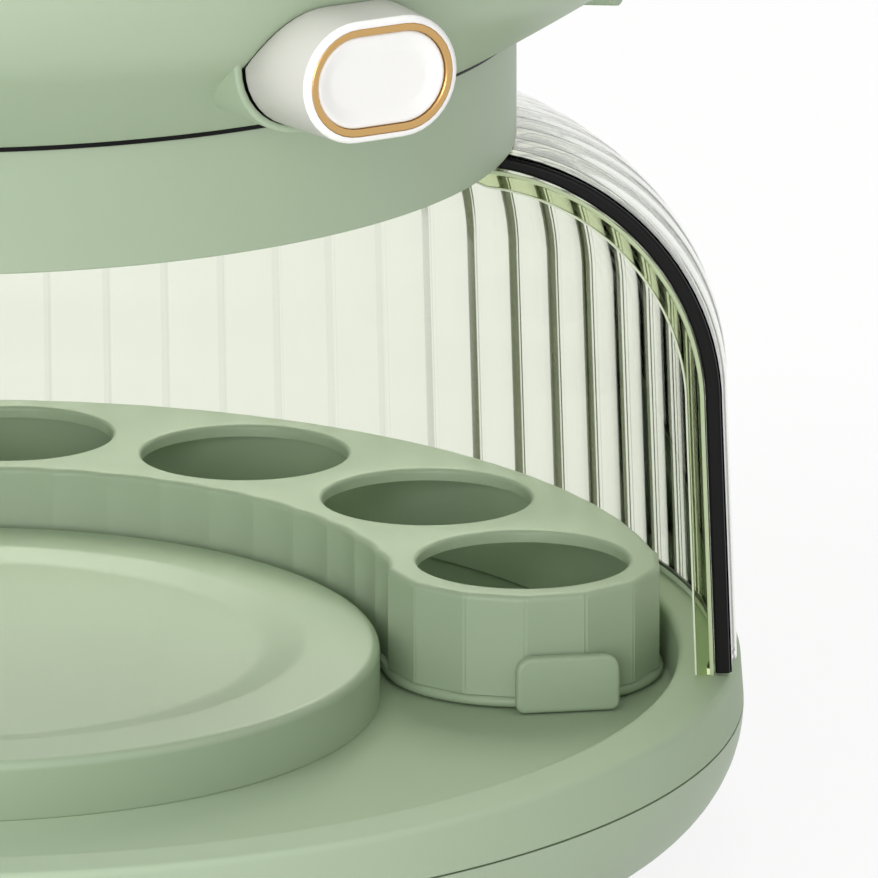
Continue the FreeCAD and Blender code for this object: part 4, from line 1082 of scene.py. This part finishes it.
def makeTray(setup):
    faceted, smooth, outward = trayOutline(setup)
    low, top, under = setup["low"], setup["top"], setup["top"] - setup["skin"]
    bead, beadHeight = setup["bead"], setup["beadHeight"]
    beadRound = beadHeight / 2
    rows = []
    for step in range(7):
        angle = math.radians(-90 + 30 * step)
        rows.append((smooth, bead - beadRound + beadRound * math.cos(angle),
                     low + beadRound + beadRound * math.sin(angle)))
    rows += [(faceted, offset, low + beadHeight + rise) for offset, rise in setup["beadLeads"]]
    rounding, lead = setup["topRound"], setup["topLead"]
    rows.append((faceted, 0.0, top - rounding - lead))
    rows += [(faceted, offset, z) for z, offset in roundSteps(top, 0.0, rounding)]
    rows.append((faceted, -rounding - lead, top))
    hollow = [(smooth, -setup["wall"], under), (smooth, -setup["wall"], low),
              (smooth, bead - beadRound - setup["beadInside"], low)]

    work = bmesh.new()

    def placeRow(outline, offset, z):
        return [work.verts.new(((x + dx * offset) * mm, (y + dy * offset) * mm, z * mm))
                for (x, y), (dx, dy) in zip(outline, outward)]

    outside = [placeRow(*row) for row in rows]
    inside = [placeRow(*row) for row in hollow]
    bridgeAll(work, outside)
    bridgeAll(work, inside + outside[:1])
    topEdges = loopEdges(work, outside[-1])
    underEdges = loopEdges(work, inside[0])
    radius, soft = setup["holeRadius"], setup["holeRound"]
    section = [(under, radius)]
    for step in range(5):
        swing = math.radians(22.5 * step)
        section.append((top - soft + soft * math.sin(swing), radius + soft - soft * math.cos(swing)))
    for index in range(setup["count"]):
        angle = math.radians(firstPlace(setup) + setup["pitch"] * index)
        x, y = setup["ring"] * math.cos(angle) * mm, setup["ring"] * math.sin(angle) * mm
        loops = [ringLoop(work, x, y, z * mm, reach * mm, setup["holeFacets"]) for z, reach in section]
        bridgeAll(work, loops)
        underEdges += loopEdges(work, loops[0])
        topEdges += loopEdges(work, loops[-1])
    for edges in (topEdges, underEdges):
        bmesh.ops.triangle_fill(work, use_beauty=True, use_dissolve=False, edges=edges)
    mesh = bpy.data.meshes.new("eggTrayMoulded")
    work.to_mesh(mesh)
    work.free()
    mesh.materials.append(sageGreen)
    tidyMesh(mesh, 40.0)
    seatPiece("eggTrayMoulded", mesh, "tray", "sage_green", "egg_tray")


makeTray(traySizes)

tabSizes = {
    "width": 18.6, "height": 10.2, "depth": 2.5, "standOff": 1.6, "shift": 3.3, "lift": -0.05,
    "cornerTop": 2.8, "cornerLow": 1.6, "leastRound": 0.3, "edge": 0.8,
    "web": 8.0, "webLow": 2.6, "webHigh": 8.0, "webRound": 0.6, "webSink": 2.0, "webReach": 1.0,
}


def makeTab(name, setup, tray, turn, side):
    # a rounded plate standing off the tip of an end lobe, on a short web
    angle = math.radians(turn)
    along = Vector((math.sin(angle), -math.cos(angle), 0)) * side     # from the lobe out to the plate
    across = Vector((math.cos(angle), math.sin(angle), 0))
    low = tray["low"] + setup["lift"]
    back = tray["half"] + setup["standOff"]

    def placeRow(out, shift, outline):
        start = across * (tray["ring"] + shift) + along * out
        return [tuple((start + across * x + Vector((0, 0, low + y))) * mm) for x, y in outline]

    half, height, edge = setup["width"] / 2, setup["height"], setup["edge"]
    corners = [(-half, 0, setup["cornerLow"]), (half, 0, setup["cornerLow"]),
               (half, height, setup["cornerTop"]), (-half, height, setup["cornerTop"])]
    swings = [math.radians(18 * step) for step in range(6)]
    profile = [(back + edge - edge * math.cos(swing), edge - edge * math.sin(swing)) for swing in swings]
    front = back + setup["depth"] - edge
    profile += [(front + edge * math.sin(swing), edge - edge * math.cos(swing)) for swing in swings]
    rows = []
    for out, inset in profile:
        shrunk = [(x - math.copysign(inset, x), y + (inset if y < height / 2 else -inset),
                   max(rounding - inset, setup["leastRound"])) for x, y, rounding in corners]
        rows.append(placeRow(out, setup["shift"], softSection(shrunk, 6)))
    loftPiece(name, rows, [sageGreen], "tray", "sage_green")

    half = setup["web"] / 2
    web = boxSection(-half, half, setup["webLow"], setup["webHigh"], setup["webRound"])
    rows = [placeRow(out, 0.0, web) for out in (tray["half"] - setup["webSink"], back + setup["webReach"])]
    loftPiece(name + "_web", rows, [sageGreen], "tray", "sage_green")


makeTab("liftTab_right", tabSizes, traySizes, firstPlace(traySizes), 1)
makeTab("liftTab_left", tabSizes, traySizes, 180 - firstPlace(traySizes), -1)
print("egg tray moulded")
